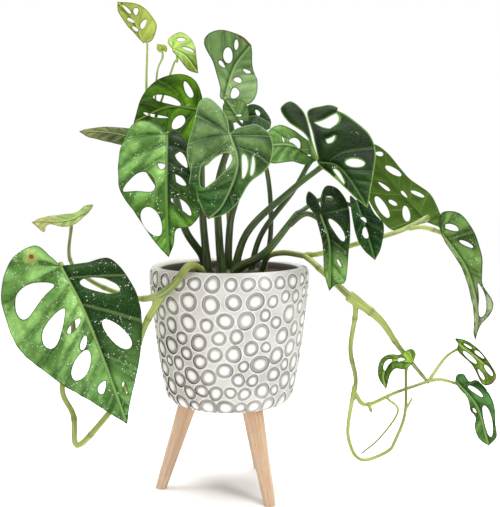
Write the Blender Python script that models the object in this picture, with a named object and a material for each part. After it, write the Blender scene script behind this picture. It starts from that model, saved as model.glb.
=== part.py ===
"""Swiss cheese vine (Monstera adansonii) planted in a round three-legged pot.

Lengths are millimetres, measured from the pot's axis at floor level, with X to the right,
Y away from the front and Z up. Each leaf blade is a flat outline with windows, laid on a
curved surface that follows its midrib. Stems are round tubes along smooth paths, joined
into one body for each shoot.
"""

import math

import bpy
import numpy as np
from mathutils import Vector, geometry

MM = 0.001
FIT_GAP = 0.3

# Pot
POT_SIDES = 48
POT_BASE_Z = 85.5
POT_FLOOR_Z = 99.5
POT_RIM_Z = 218.0
POT_OUTSIDE = [  # radius, height, from the foot of the wall up to the crest of the rim
    (50.0, POT_BASE_Z), (54.5, 87.2), (58.5, 91.5), (61.2, 98.5), (65.6, 121.0), (69.6, 148.0),
    (73.0, 178.0), (75.2, 203.0), (75.3, 211.0), (73.8, 216.2), (70.8, POT_RIM_Z),
]
POT_INSIDE = [  # from the rim down to the floor
    (67.4, 216.6), (65.0, 212.5), (64.4, 206.0), (62.0, 170.0), (58.0, 130.0),
    (52.5, 106.0), (47.0, POT_FLOOR_Z),
]

# Raised discs on the pot's wall
DISC_ROWS = 7
DISC_PITCH = 27.0
DISC_SIDES = 6
DISC_HEIGHT = 1.2
DISC_SINK = 1.2
DISC_TAPER = 0.86
DISC_RADII = (3.2, 4.6)
DISC_FOOT_MARGIN = 12.0
DISC_RIM_MARGIN = 9.0
DISC_JITTER_ROUND = 1.7
DISC_JITTER_UP = 1.0
DISC_SEED = 7
SLOPE_REACH = 2.0

# Soil
SOIL_TOP_Z = 208.0
SOIL_GAP = 0.5
SOIL_SIDES = 32
SOIL_EDGE = 1.5
HOLE_DEPTH = 16.0
HOLE_SIDES = 16
CUT_PAST = 4.0

# Legs
LEG_COUNT = 3
LEG_SIDES = 16
LEG_TURN = 184.4
LEG_FOOT_SPREAD = 67.0
LEG_TOP_SPREAD = 39.5
LEG_FOOT_RADIUS = 5.4
LEG_TOP_RADIUS = 9.6
LEG_FOOT_CHAMFER = 0.7
TENON_RADIUS = 6.0
TENON_LENGTH = 7.0

# Stake that holds the plant up
STAKE_FOOT = (2.0, 6.0, 196.0)
STAKE_HEAD = (-5.0, 6.0, 322.0)
STAKE_RADIUS = 1.4
STAKE_HEAD_RADIUS = 1.0
STAKE_SIDES = 8
STAKE_HOLE_RADIUS = 2.0

# Leaf blades
BLADE_THICKNESS = 0.8
MIDRIB_DEPTH = 1.3
MIDRIB_HALF_WIDTH = 1.6
MIDRIB_RISE = 12.0
MIDRIB_THINNING = 0.7
MIDRIB_NARROWING = 0.75
MIDRIB_SHARE = 0.93
MIDRIB_STEPS = 16
RIPPLE_PITCH = 46.0
RIPPLE_HEIGHT = 1.6
RIPPLE_REACH = 45.0
RIPPLE_SHIFT = 1.3
TANGENT_REACH = 1.5
NORMAL_STEP = 0.4
EDGE_STEPS = 2
SURFACE_STEP = 15.0
EDGE_CLEARANCE = 3.0
SMALL_WINDOW = 14.0
MEDIUM_WINDOW = 28.0

# Stems
STEM_STEP = 14.0
STEM_CURVE_STEPS = 8
THICK_STEM_SIDES = 8
THIN_STEM_SIDES = 6
THIN_STEM_RADIUS = 2.2
STALK_APPROACH = 9.0
STALK_GAP = 0.75
STALK_SPREAD = 0.24
STOCK_SIDES = 16
STOCK_FOOT_SHARE = 0.8
STOCK_TOP_SHARE = 0.75
STOCK_ROUNDING = 3.5
STOCKS = {  # shoot: x, y, radius, top height of the short stock its petioles grow from
    "shoot_left": (-22.0, 0.0, 10.0, 214.0),
    "shoot_mid": (1.0, -12.0, 14.0, 213.0),
    "shoot_right": (23.0, 5.0, 9.5, 213.0),
}
RUNNER_HOLES = {  # runner: x, y, radius of its hole in the soil
    "vine_left": (-24.0, -27.0, 5.8),
    "vine_right": (34.0, 16.0, 3.4),
}

# Each blade has a midrib from the stalk to the tip, the direction that its upper face looks
# at the stalk and at the tip, the fold of its halves in degrees and their curl in
# milliradians per millimetre. Its edge runs from the notch to the tip, once by the points
# on the left and once by those on the right, all (along the midrib, across it). A window
# is its inner end, its outer end, its half width at each, and how far its middle bows.
BLADES = {
    "blade_front_left": {
        "midrib": [(-149, -66, 224), (-128, -78, 188), (-111, -84, 147), (-91, -72, 82)],
        "face": (0.1, -0.9, 0.4), "face_tip": (0.1, -1.0, 0.05), "fold": -6, "curl": -4,
        "tip": (158, 0),
        "left": [(-12, -4), (-28, -12), (-27, -36), (-6, -58), (30, -68), (62, -65),
                 (100, -45), (132, -20)],
        "right": [(7, 22), (13, 44), (45, 50), (75, 44), (107, 29), (138, 10)],
        "windows": [
            (12, -13, 22, -54, 6, 14, -7), (36, -15, 65, -42, 5, 11, -3),
            (51, -6, 59, -21, 3, 3, 0), (67, -7, 78, -15, 2, 3, 0),
            (80, -10, 103, -30, 6, 8, 0), (112, -5, 123, -13, 2, 4, -1),
            (21, 8, 42, 37, 6, 7, 1), (60, 12, 92, 26, 6, 8, 0), (119, 9, 131, 9, 2, 1, 0),
        ],
    },
    "blade_side_small": {
        "midrib": [(-129, -10, 273), (-147, -38, 263), (-172, -64, 264)],
        "face": (0.1, -0.4, 0.9), "face_tip": (0.25, -0.45, 0.85), "fold": 0, "curl": 0,
        "tip": (75, 2),
        "left": [(-5, -3), (2, -7), (15, -5), (35, -11), (57, -7)],
        "right": [(8, 3), (25, 6), (43, 10), (56, 5), (64, 9), (71, 17)],
        "windows": [],
    },
    "blade_top_young": {
        "midrib": [(-83, 26, 429), (-92, 31, 452), (-107, 26, 468)],
        "face": (-0.45, -0.9, 0.1), "face_tip": (-0.35, -0.9, 0.2), "fold": 12, "curl": 0,
        "tip": (48, 0),
        "left": [(-3, -11), (6, -22), (18, -20), (33, -13)],
        "right": [(12, 5), (24, 9), (40, 7)],
        "windows": [
            (43, -1, 31, -1, 1, 2, 0), (27, -4, 31, -10, 2, 3, 1), (22, 1, 30, 5, 1, 2, 0),
            (14, -3, 18, -13, 4, 2, 0), (13, 1, 20, 5, 2, 1, 0),
        ],
    },
    "blade_top_bud": {
        "midrib": [(-63, 6, 421), (-64, -2, 424), (-68, -8, 425)],
        "face": (-0.1, -0.5, 0.85), "face_tip": (-0.2, -0.5, 0.85), "fold": 6, "curl": 0,
        "tip": (14, 0),
        "left": [(-6, -3), (2, -5), (9, -3)],
        "right": [(-6, 3), (2, 5), (9, 3)],
        "windows": [],
    },
    "blade_top_hood": {
        "midrib": [(-53, 2, 421), (-40, -10, 413), (-28, -12, 397)],
        "face": (0.3, -0.7, 0.65), "face_tip": (0.5, -0.7, 0.55), "fold": -2, "curl": -2,
        "tip": (39, 0),
        "left": [(4, -3), (16, -7), (31, -8)],
        "right": [(-16, 7), (-26, 20), (-30, 35), (-17, 34), (1, 25), (27, 9)],
        "windows": [(-11, 17, -20, 27, 5, 4, -1), (1, 11, 18, 12, 4, 2, 1)],
    },
    "blade_back_round": {
        "midrib": [(-26, 2, 365), (-58, 16, 368), (-91, 16, 354)],
        "face": (0, -0.95, 0.25), "face_tip": (-0.1, -0.95, 0.2), "fold": 4, "curl": -3,
        "tip": (72, 0),
        "left": [(3, -13), (17, -28), (33, -31), (55, -18)],
        "right": [(-2, 15), (4, 39), (24, 50), (66, 37), (75, 17)],
        "windows": [
            (23, -1, 46, -14, 3, 4, 1), (13, -10, 24, -25, 4, 2, 1),
            (60, -4, 37, 11, 2, 1, -2), (13, 13, 32, 20, 8, 5, 0),
        ],
    },
    "blade_drooping": {
        "midrib": [(-54, -56, 341), (-53, -81, 300), (-52, -90, 262), (-51, -90, 235)],
        "face": (-0.1, -0.85, 0.5), "face_tip": (0, -1.0, 0.1), "fold": -4, "curl": -6,
        "tip": (115, 0),
        "left": [(-12, -9), (-19, -28), (-8, -40), (20, -46), (52, -43), (76, -28), (99, -13)],
        "right": [(-4, 8), (14, 19), (42, 23), (72, 30), (88, 21), (91, 8), (104, 5)],
        "windows": [
            (51, -10, 53, -40, 13, 6, -6), (96, -7, 71, -20, 7, 9, 0),
            (19, 9, 35, 18, 5, 2, 0), (42, 5, 52, 17, 3, 3, 0),
            (64, 4, 79, 21, 4, 3, 2), (35, -2, 30, -8, 4, 1, 0),
        ],
    },
    "blade_centre": {
        "midrib": [(2, -74, 341), (9, -93, 314), (-3, -98, 282), (-16, -94, 268)],
        "face": (-0.05, -0.85, 0.5), "face_tip": (0.1, -1.0, 0.05), "fold": -5, "curl": -6,
        "tip": (89, 0),
        "left": [(-20, 1), (-42, -8), (-44, -18), (-22, -29), (6, -42), (43, -41), (78, -30),
                 (87, -10)],
        "right": [(-5, 10), (-5, 27), (11, 35), (30, 29), (45, 14), (67, 10)],
        "windows": [
            (18, -9, 66, -23, 14, 7, -5), (24, 6, 44, 7, 3, 2, 0), (26, 14, 40, 13, 1, 2, 0),
        ],
    },
    "blade_top_tall": {
        "midrib": [(-4, -8, 373), (5, 6, 404), (20, 4, 424)],
        "face": (-0.15, -0.95, 0.2), "face_tip": (0.2, -0.95, 0.3), "fold": 4, "curl": 0,
        "tip": (62, 0),
        "left": [(-3, -12), (1, -25), (14, -28), (37, -22), (54, -8)],
        "right": [(2, 5), (14, 8), (32, 20), (42, 38), (57, 27), (63, 12)],
        "windows": [
            (37, 6, 46, 16, 4, 4, 0), (32, 8, 35, 16, 1, 2, 0), (49, 8, 57, 14, 2, 2, 0),
            (38, -8, 39, -16, 2, 3, -1), (24, -3, 22, -11, 3, 3, 1),
            (15, -6, 3, -8, 3, 5, 1),
        ],
    },
    "blade_inner_pale": {
        "midrib": [(11, -34, 354), (4, -40, 364), (-2, -42, 373)],
        "face": (0, -0.9, 0.43), "face_tip": (0, -0.9, 0.43), "fold": 0, "curl": 0,
        "tip": (24, 0),
        "left": [(-6, -6), (5, -13), (16, -11)],
        "right": [(3, 7), (11, 10), (20, 7)],
        "windows": [(7, 2, 2, -4, 1, 1, 0)],
    },
    "blade_inner_curled": {
        "midrib": [(14, -18, 356), (25, -20, 358), (38, -28, 351)],
        "face": (0.1, -0.8, 0.6), "face_tip": (0.3, -0.85, 0.4), "fold": 8, "curl": 0,
        "tip": (33, -5),
        "left": [(0, -10), (22, -18), (31, -12)],
        "right": [(7, 12), (17, 8), (27, 3)],
        "windows": [(14, 1, 10, 7, 2, 1, 0)],
    },
    "blade_mid_right": {
        "midrib": [(82, -18, 318), (58, -31, 331), (32, -46, 331)],
        "face": (-0.1, -0.75, 0.65), "face_tip": (-0.2, -0.9, 0.4), "fold": 4, "curl": 0,
        "tip": (62, 4),
        "left": [(8, -11), (23, -14), (38, -21), (55, -10)],
        "right": [(9, 11), (20, 16), (48, 21), (62, 17)],
        "windows": [(21, -1, 33, -4, 5, 3, -3), (38, -2, 38, -9, 1, 1, 0), (7, -1, 12, 2, 1, 1, 0)],
    },
    "blade_big_right": {
        "midrib": [(82, -50, 316), (97, -57, 313), (109, -72, 299), (121, -94, 277)],
        "face": (-0.25, -0.9, 0.35), "face_tip": (-0.35, -0.8, 0.5), "fold": -3, "curl": -4,
        "tip": (74, 0), "notch": (-2, 3),
        "left": [(-12, 18), (-29, 46), (-46, 57), (-54, 48), (-42, 35), (-22, 25), (-9, 9),
                 (3, -5), (20, -10), (52, -6)],
        "right": [(-15, 27), (-28, 50), (-10, 60), (7, 54), (18, 42), (50, 16)],
        "windows": [
            (-17, 39, 7, 49, 2, 11, -4), (0, 22, 8, 28, 4, 1, -3), (21, 7, 32, 19, 4, 4, 0),
            (16, -4, 38, -6, 2, 1, 0),
        ],
    },
    "blade_far_right": {
        "midrib": [(189, 4, 258), (166, 17, 284), (140, 21, 314)],
        "face": (0.1, 0.95, -0.3), "face_tip": (0.3, 0.9, -0.3), "fold": 4, "curl": 0,
        "tip": (94, 5),
        "left": [(8, -15), (18, -30), (46, -29), (62, -22), (80, -6)],
        "right": [(-15, 9), (-2, 15), (20, 21), (45, 16), (76, 16), (91, 12)],
        "windows": [
            (85, 6, 78, 12, 1, 3, 0), (68, 6, 51, 12, 3, 3, 0), (47, -6, 61, -9, 2, 1, 0),
            (32, -10, 41, -13, 2, 2, 0), (31, 2, 40, 2, 1, 2, 0), (34, 9, 21, 15, 2, 2, 0),
            (52, -20, 28, -24, 4, 4, 0), (27, -5, 13, -13, 3, 4, 0),
        ],
    },
    "blade_hanging": {
        "midrib": [(200, -11, 249), (222, -20, 217), (233, -21, 178), (233, -16, 148)],
        "face": (-0.5, -0.85, 0.1), "face_tip": (-0.5, -0.85, 0), "fold": 0, "curl": 0,
        "tip": (112, 0),
        "left": [(15, -3), (57, -4), (98, -3)],
        "right": [(-9, 3), (-15, 13), (-5, 25), (14, 26), (36, 19), (57, 10), (78, 16), (95, 4)],
        "windows": [(-4, 6, 8, 15, 3, 3, 1), (16, 9, 28, 16, 2, 2, 0), (88, 3, 56, 6, 5, 2, -2)],
    },
    "blade_wrinkled": {
        "midrib": [(117, -34, 281), (124, -48, 257), (133, -48, 228)],
        "face": (-0.1, -0.9, 0.4), "face_tip": (0, -1.0, 0.1), "fold": 0, "curl": -8,
        "tip": (60, 0),
        "left": [(-6, -4), (7, -7), (33, -10), (48, -7)],
        "right": [(-1, 9), (18, 12), (31, 17), (50, 9)],
        "windows": [(18, -1, 25, 2, 2, 1, 1), (28, 0, 39, -1, 2, 3, -1)],
    },
    "blade_beside_pot": {
        "midrib": [(82, -70, 270), (89, -83, 245), (89, -86, 206)],
        "face": (-0.1, -0.9, 0.4), "face_tip": (-0.1, -1.0, 0.1), "fold": -4, "curl": -5,
        "tip": (70, 0), "notch": (-7, 2),
        "left": [(-17, 1), (-25, -4), (-15, -9), (0, -5), (23, -6), (52, -5)],
        "right": [(-17, 5), (-26, 13), (-19, 23), (2, 26), (33, 17), (61, 14), (64, 6)],
        "windows": [(-15, 9, -12, 15, 2, 2, 0), (6, 6, 28, 13, 3, 4, 0), (42, 6, 49, 10, 1, 1, 0)],
    },
    "blade_far_left": {
        "midrib": [(-87, -8, 338), (-112, -17, 343), (-137, -28, 344)],
        "face": (0.1, -0.55, 0.85), "face_tip": (0.1, -0.45, 0.9), "fold": 0, "curl": 0,
        "tip": (54, 0),
        "left": [(-2, -13), (19, -12), (42, -6)],
        "right": [(5, 15), (28, 18), (47, 12)],
        "windows": [],
    },
    "blade_lacy": {
        "midrib": [(212, -40, 149), (229, -51, 136), (245, -56, 121)],
        "face": (-0.2, -0.9, 0.4), "face_tip": (-0.1, -0.95, 0.3), "fold": 0, "curl": 0,
        "tip": (47, -2),
        "left": [(5, -6), (23, -8), (41, -14), (47, -9)],
        "right": [(-5, 2), (5, 7), (21, 7), (42, 2)],
        "windows": [
            (4, 3, 13, 4, 1, 1, 0), (16, 4, 27, 4, 2, 1, 0), (8, -3, 25, -4, 2, 2, 0),
            (31, 0, 43, -2, 2, 2, 0), (29, -7, 40, -10, 1, 2, 0),
        ],
    },
    "blade_low_long": {
        "midrib": [(210, -40, 114), (227, -56, 94), (239, -54, 57)],
        "face": (-0.3, -0.9, 0.3), "face_tip": (-0.2, -1.0, 0), "fold": 0, "curl": 0,
        "tip": (71, 0),
        "left": [(6, -2), (20, -3), (32, -7), (41, -5), (50, -8), (62, -7)],
        "right": [(-3, 5), (1, 10), (10, 9), (15, 15), (33, 15), (50, 11), (64, 9)],
        "windows": [(63, 4, 33, 6, 3, 4, 0), (12, 5, 27, 9, 2, 2, 0), (31, -4, 37, -3, 1, 1, 0)],
    },
    "blade_low_curled": {
        "midrib": [(169, -52, 134), (148, -66, 138), (140, -66, 126), (143, -62, 111)],
        "face": (-0.2, -0.7, 0.7), "face_tip": (-0.5, -0.85, 0.1), "fold": 0, "curl": 0,
        "tip": (57, 0),
        "left": [(-9, -10), (-9, -17), (1, -14), (16, -6), (32, -8), (46, -4)],
        "right": [(15, 9), (33, 7), (46, 5)],
        "windows": [(20, 1, 9, -2, 2, 1, 1), (38, 0, 25, -1, 2, 2, 1)],
    },
}

AGES = {  # blades that are not of the mature green
    "blade_side_small": "young", "blade_top_young": "young", "blade_top_bud": "young",
    "blade_top_hood": "young", "blade_lacy": "young", "blade_low_curled": "young",
    "blade_wrinkled": "old",
}
BLADE_COLOUR = {
    "mature": (0.10, 0.28, 0.05),
    "young": (0.42, 0.58, 0.08),
    "old": (0.05, 0.16, 0.04),
}

# Each stem has its radius at the start and at the end, then the points that it is led by.
# The last point of a stem that carries a blade is replaced by the blade's foot.
STEMS = {
    "shoot_left": {
        "petiole_a": (3.9, 3.0, [(-25, 3, 200), (-25, 0, 224), (-41, -18, 253),
                                 (-50, -43, 296), (-54, -52, 338)]),
        "petiole_a2": (2.2, 1.8, [(-42, -19, 255), (-64, -18, 290), (-86, -9, 335)]),
        "petiole_b": (4.0, 2.6, [(-19, -4, 200), (-25, -6, 265), (-26, -2, 331), (-25, 4, 362)]),
        "petiole_b2": (1.8, 0.9, [(-25, -5, 275), (-63, 33, 327), (-80, 34, 368),
                                  (-83, 27, 428)]),
        "petiole_b3": (1.1, 0.9, [(-63, 33, 327), (-72, 34, 361), (-70, 28, 400),
                                  (-63, 8, 420)]),
        "petiole_b4": (1.2, 0.9, [(-72, 34, 359), (-60, 31, 392), (-52, 15, 410),
                                  (-48, 3, 414)]),
    },
    "shoot_mid": {
        "petiole_c": (4.0, 2.8, [(-5, -14, 200), (-9, -20, 242), (-9, -50, 296), (2, -69, 339)]),
        "petiole_d": (3.8, 2.4, [(-2, -4, 200), (1, -8, 258), (9, -6, 299), (-3, -5, 371)]),
        "petiole_e": (3.9, 2.4, [(2, -12, 200), (17, -20, 250), (57, -38, 290), (81, -46, 315)]),
        "petiole_h": (4.4, 2.8, [(4, -18, 200), (8, -22, 216), (34, -34, 233), (62, -48, 269)]),
        "petiole_h1": (2.6, 2.2, [(56, -45, 260), (70, -56, 270), (80, -66, 271)]),
        "petiole_h2": (2.2, 1.8, [(62, -48, 269), (87, -34, 282), (116, -29, 282)]),
    },
    "shoot_right": {
        "petiole_f": (2.9, 2.2, [(18, 3, 200), (30, -2, 246), (60, -18, 289), (80, -14, 316)]),
        "petiole_g": (2.6, 2.0, [(27, 7, 200), (39, 0, 243), (36, -7, 305), (16, -14, 353)]),
        "petiole_g2": (1.7, 1.5, [(31, -8, 323), (21, -18, 340), (12, -31, 352)]),
    },
    "vine_right": {
        "runner": (2.6, 2.8, [(34, 16, 200), (35, 13, 222), (51, 2, 229), (75, -14, 227)]),
        "runner_up": (2.5, 2.2, [(73, -12, 228), (87, -22, 231), (119, -24, 240),
                                 (160, -14, 251), (185, -1, 258)]),
        "petiole_far": (2.2, 2.0, [(170, -11, 254), (185, -8, 254), (198, -6, 250)]),
        "runner_down": (2.6, 3.0, [(73, -13, 227), (85, -34, 217), (110, -54, 195)]),
        "sheath": (4.3, 1.4, [(110, -54, 195), (138, -50, 173), (158, -37, 145),
                              (186, -36, 111)]),
        "trail": (2.3, 2.0, [(112, -54, 197), (116, -50, 181), (112, -46, 145),
                             (117, -46, 118), (115, -46, 98)]),
        "trail_side": (1.8, 1.4, [(116, -46, 104), (127, -47, 93), (155, -44, 104),
                                  (187, -36, 113)]),
        "trail_down": (1.8, 1.3, [(116, -46, 110), (110, -50, 72), (113, -50, 54),
                                  (119, -50, 44), (129, -50, 42), (147, -50, 50),
                                  (153, -51, 59), (162, -53, 87), (169, -50, 131)]),
        "spike": (1.2, 0.6, [(163, -53, 91), (168, -55, 101)]),
        "bud": (1.6, 1.2, [(129, -47, 95), (131, -52, 88)]),
        "air_root": (1.1, 0.7, [(146, -46, 99), (158, -36, 84), (141, -40, 60),
                                (124, -43, 46)]),
        "petiole_lacy": (1.4, 1.1, [(186, -36, 113), (202, -34, 135), (211, -37, 148)]),
        "petiole_low": (1.5, 1.2, [(186, -36, 113), (198, -36, 114), (209, -37, 114)]),
    },
    "vine_left": {
        "runner": (3.6, 3.4, [(-24, -26, 200), (-24, -29, 210), (-27, -45, 219),
                              (-35, -66, 224), (-47, -71, 209), (-63, -58, 195)]),
        "runner_back": (3.0, 1.2, [(-60, -60, 197), (-84, -40, 191), (-122, -36, 204),
                                   (-145, -38, 225), (-146, -39, 255)]),
        "runner_loop": (3.0, 2.3, [(-60, -59, 196), (-77, -57, 165), (-94, -50, 111),
                                   (-115, -60, 81), (-138, -62, 59), (-142, -55, 85),
                                   (-153, -49, 110), (-142, -46, 158), (-149, -60, 220)]),
    },
}

CARRIES = {  # stem: the blade it carries and the place on it, along and across
    "petiole_a": ("blade_drooping", 0.0, 0.0),
    "petiole_a2": ("blade_far_left", 2.0, 0.0),
    "petiole_b": ("blade_back_round", 2.0, 0.0),
    "petiole_b2": ("blade_top_young", 2.0, 0.0),
    "petiole_b3": ("blade_top_bud", 1.0, 0.0),
    "petiole_b4": ("blade_top_hood", 9.0, -2.0),
    "petiole_c": ("blade_centre", 1.0, 0.0),
    "petiole_d": ("blade_top_tall", 4.0, 0.0),
    "petiole_e": ("blade_big_right", 0.5, 0.0),
    "petiole_h1": ("blade_beside_pot", 1.0, 0.0),
    "petiole_h2": ("blade_wrinkled", 2.0, 0.0),
    "petiole_f": ("blade_mid_right", 2.0, 0.0),
    "petiole_g": ("blade_inner_curled", 2.0, 0.0),
    "petiole_g2": ("blade_inner_pale", 2.0, 0.0),
    "runner_up": ("blade_far_right", 2.0, 0.0),
    "petiole_far": ("blade_hanging", 3.0, 0.0),
    "petiole_lacy": ("blade_lacy", 2.0, 0.0),
    "petiole_low": ("blade_low_long", 2.0, 0.0),
    "trail_down": ("blade_low_curled", 2.0, 0.0),
    "runner_back": ("blade_side_small", 31.0, 2.0),
    "runner_loop": ("blade_front_left", 1.0, 0.0),
}


def clear_scene():
    """Remove what the file starts with."""
    for item in list(bpy.data.objects):
        bpy.data.objects.remove(item, do_unlink=True)


def material(name, colour, roughness, metallic=0.0):
    """A plain Principled material."""
    made = bpy.data.materials.new(name)
    made.use_nodes = True
    shader = made.node_tree.nodes["Principled BSDF"]
    shader.inputs["Base Color"].default_value = (*colour, 1.0)
    shader.inputs["Roughness"].default_value = roughness
    shader.inputs["Metallic"].default_value = metallic
    return made


def add_object(name, points, faces, paint=None):
    """A mesh object from points in millimetres."""
    mesh = bpy.data.meshes.new(name)
    mesh.from_pydata([tuple(float(c) * MM for c in p) for p in points], [], faces)
    mesh.validate()
    made = bpy.data.objects.new(name, mesh)
    bpy.context.scene.collection.objects.link(made)
    if paint is not None:
        mesh.materials.append(paint)
    return made


def ring_faces(rings, sides):
    """Faces that join a row of rings and close its two ends."""
    faces = []
    for row in range(rings - 1):
        low, high = row * sides, (row + 1) * sides
        for k in range(sides):
            after = (k + 1) % sides
            faces.append((low + k, low + after, high + after, high + k))
    faces.append(tuple(reversed(range(sides))))
    faces.append(tuple(range((rings - 1) * sides, rings * sides)))
    return faces


def level_rings(name, rings, sides, paint=None):
    """A body through level circles, each given as x, y, z and radius."""
    points = []
    for x, y, z, radius in rings:
        for k in range(sides):
            turn = 2 * math.pi * k / sides
            points.append((x + radius * math.cos(turn), y + radius * math.sin(turn), z))
    return add_object(name, points, ring_faces(len(rings), sides), paint)


def combine(target, others, operation, solver="EXACT"):
    """Apply one Boolean of target with the others, which are then removed."""
    group = bpy.data.collections.new(target.name + "_tools")
    bpy.context.scene.collection.children.link(group)
    for item in others:
        group.objects.link(item)
    step = target.modifiers.new("combine", "BOOLEAN")
    step.operation = operation
    step.operand_type = "COLLECTION"
    step.collection = group
    step.solver = solver
    bpy.context.view_layer.objects.active = target
    bpy.ops.object.modifier_apply(modifier=step.name)
    for item in others:
        bpy.data.objects.remove(item, do_unlink=True)
    bpy.data.collections.remove(group)
    return target


def smooth_path(points, steps):
    """Catmull-Rom curve through the points."""
    knots = [np.array(p, dtype=float) for p in points]
    made = []
    for i in range(len(knots) - 1):
        here, ahead = knots[i], knots[i + 1]
        before = knots[i - 1] if i > 0 else 2 * here - ahead
        beyond = knots[i + 2] if i + 2 < len(knots) else 2 * ahead - here
        for k in range(steps):
            t = k / steps
            linear = (ahead - before) * t
            square = (2 * before - 5 * here + 4 * ahead - beyond) * t * t
            cube = (3 * here - before - 3 * ahead + beyond) * t**3
            made.append(0.5 * (2 * here + linear + square + cube))
    made.append(knots[-1])
    return np.array(made)


def arc_lengths(line):
    """Distance along a line of points, at each of them."""
    gaps = np.linalg.norm(np.diff(line, axis=0), axis=1)
    return np.concatenate(([0.0], np.cumsum(gaps)))


def unit(vector):
    return vector / np.linalg.norm(vector)


class BladeSurface:
    """The curved surface of one blade, addressed by (along, across)."""

    def __init__(self, spec):
        self.line = smooth_path(spec["midrib"], MIDRIB_STEPS)
        self.arc = arc_lengths(self.line)
        self.length = self.arc[-1]
        self.face = unit(np.array(spec["face"]))
        self.face_tip = unit(np.array(spec["face_tip"]))
        self.fold = math.radians(spec["fold"])
        self.curl = spec["curl"] * MM

    def on_midrib(self, along):
        inside = min(max(along, 0.0), self.length)
        return np.array([np.interp(inside, self.arc, self.line[:, k]) for k in range(3)])

    def axes(self, along):
        """Place on the midrib, direction across it and direction of the face."""
        behind = min(max(along, TANGENT_REACH), self.length) - TANGENT_REACH
        ahead = max(min(along, self.length - TANGENT_REACH), 0.0) + TANGENT_REACH
        forward = unit(self.on_midrib(ahead) - self.on_midrib(behind))
        past = along - min(max(along, 0.0), self.length)
        start = self.on_midrib(along) + forward * past
        blend = min(max(along / self.length, 0.0), 1.0)
        facing = self.face * (1 - blend) + self.face_tip * blend
        across = unit(np.cross(facing, forward))
        return start, across, np.cross(forward, across)

    def point(self, along, across):
        """Place of a flat point on the folded, curled and rippled surface."""
        start, side, up = self.axes(along)
        reach = abs(across)
        if self.curl == 0:
            out, lift = reach * math.cos(self.fold), reach * math.sin(self.fold)
        else:
            end = self.fold + self.curl * reach
            out = (math.sin(end) - math.sin(self.fold)) / self.curl
            lift = (math.cos(self.fold) - math.cos(end)) / self.curl
        phase = 2 * math.pi * along / RIPPLE_PITCH + (RIPPLE_SHIFT if across > 0 else 0.0)
        lift += RIPPLE_HEIGHT * min(reach / RIPPLE_REACH, 1.0) ** 2 * math.sin(phase)
        return start + math.copysign(out, across) * side + lift * up

    def normal(self, along, across):
        step = NORMAL_STEP
        lengthwise = self.point(along + step, across) - self.point(along - step, across)
        sideways = self.point(along, across + step) - self.point(along, across - step)
        return unit(np.cross(lengthwise, sideways))


def blade_edge(spec):
    """Flat outline of a blade, smooth but for a corner at its notch and at its tip."""
    notch, tip = spec.get("notch", (0, 0)), spec["tip"]
    left = smooth_path([notch] + spec["left"] + [tip], EDGE_STEPS)
    right = smooth_path([notch] + spec["right"] + [tip], EDGE_STEPS)
    return np.vstack([left[:-1], right[:0:-1]])


def window_loop(window):
    """Corner points of one leaf window."""
    start, end = np.array(window[0:2]), np.array(window[2:4])
    inner, outer, bow = window[4:7]
    axis = end - start
    length = np.linalg.norm(axis)
    across = np.array((-axis[1], axis[0])) / length
    corners = 6 if length < SMALL_WINDOW else 8 if length < MEDIUM_WINDOW else 12
    made = []
    for k in range(corners):
        turn = 2 * math.pi * k / corners
        t = (1 - math.cos(turn)) / 2
        half = math.sin(turn) * (inner + (outer - inner) * t)
        made.append(start + axis * t + across * (half + bow * 4 * t * (1 - t)))
    return np.array(made)


def counter_clockwise(ring):
    """The ring of points, turned round if it runs clockwise."""
    after = np.roll(ring, -1, axis=0)
    area = (ring[:, 0] * after[:, 1] - after[:, 0] * ring[:, 1]).sum()
    return ring if area > 0 else ring[::-1]


def inner_points(rings, tip):
    """Support points for the curved surface, kept clear of every edge."""
    starts = np.vstack(rings)
    spans = np.vstack([np.roll(ring, -1, axis=0) for ring in rings]) - starts
    low, high = rings[0].min(axis=0), rings[0].max(axis=0)
    columns = int(np.abs(rings[0][:, 1]).max() / SURFACE_STEP) + 1
    made = []
    for row in range(int((high[0] - low[0]) / SURFACE_STEP) + 1):
        shift = 0.5 * (row % 2)
        for column in range(-columns, columns + 1):
            p = np.array((low[0] + (row + 0.5) * SURFACE_STEP, (column + shift) * SURFACE_STEP))
            if abs(p[1]) < MIDRIB_HALF_WIDTH + EDGE_CLEARANCE and -1 < p[0] < tip:
                continue
            t = np.clip(((p - starts) * spans).sum(1) / (spans**2).sum(1), 0, 1)
            if np.linalg.norm(starts + spans * t[:, None] - p, axis=1).min() > EDGE_CLEARANCE:
                made.append(p)
    return made


def flat_triangles(spec, tip):
    """Triangles of the flat blade with its windows cut out."""
    rings = [blade_edge(spec)] + [window_loop(w) for w in spec["windows"]]
    points, faces = [], []
    for ring in rings:
        faces.append(list(range(len(points), len(points) + len(ring))))
        points += [Vector(p) for p in counter_clockwise(ring)]
    ribs = []
    stops = max(3, int(tip / SURFACE_STEP))
    for side in (-1, 0, 1):
        first = len(points)
        for k in range(stops + 1):
            t = k / stops
            along = 1.0 + t * (tip * MIDRIB_SHARE - 1.0)
            points.append(Vector((along, side * MIDRIB_HALF_WIDTH * (1 - MIDRIB_NARROWING * t))))
        ribs += [(first + k, first + k + 1) for k in range(stops)]
    points += [Vector(p) for p in inner_points(rings, tip)]
    made = geometry.delaunay_2d_cdt(points, ribs, faces, 0, 1e-4, True)
    flat, triangles, origin = made[0], made[2], made[5]
    kept = [t for t, source in zip(triangles, origin) if list(source) == [0]]
    used = sorted({v for t in kept for v in t})
    number = {v: k for k, v in enumerate(used)}
    return [flat[v] for v in used], [tuple(number[v] for v in t) for t in kept]


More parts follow.
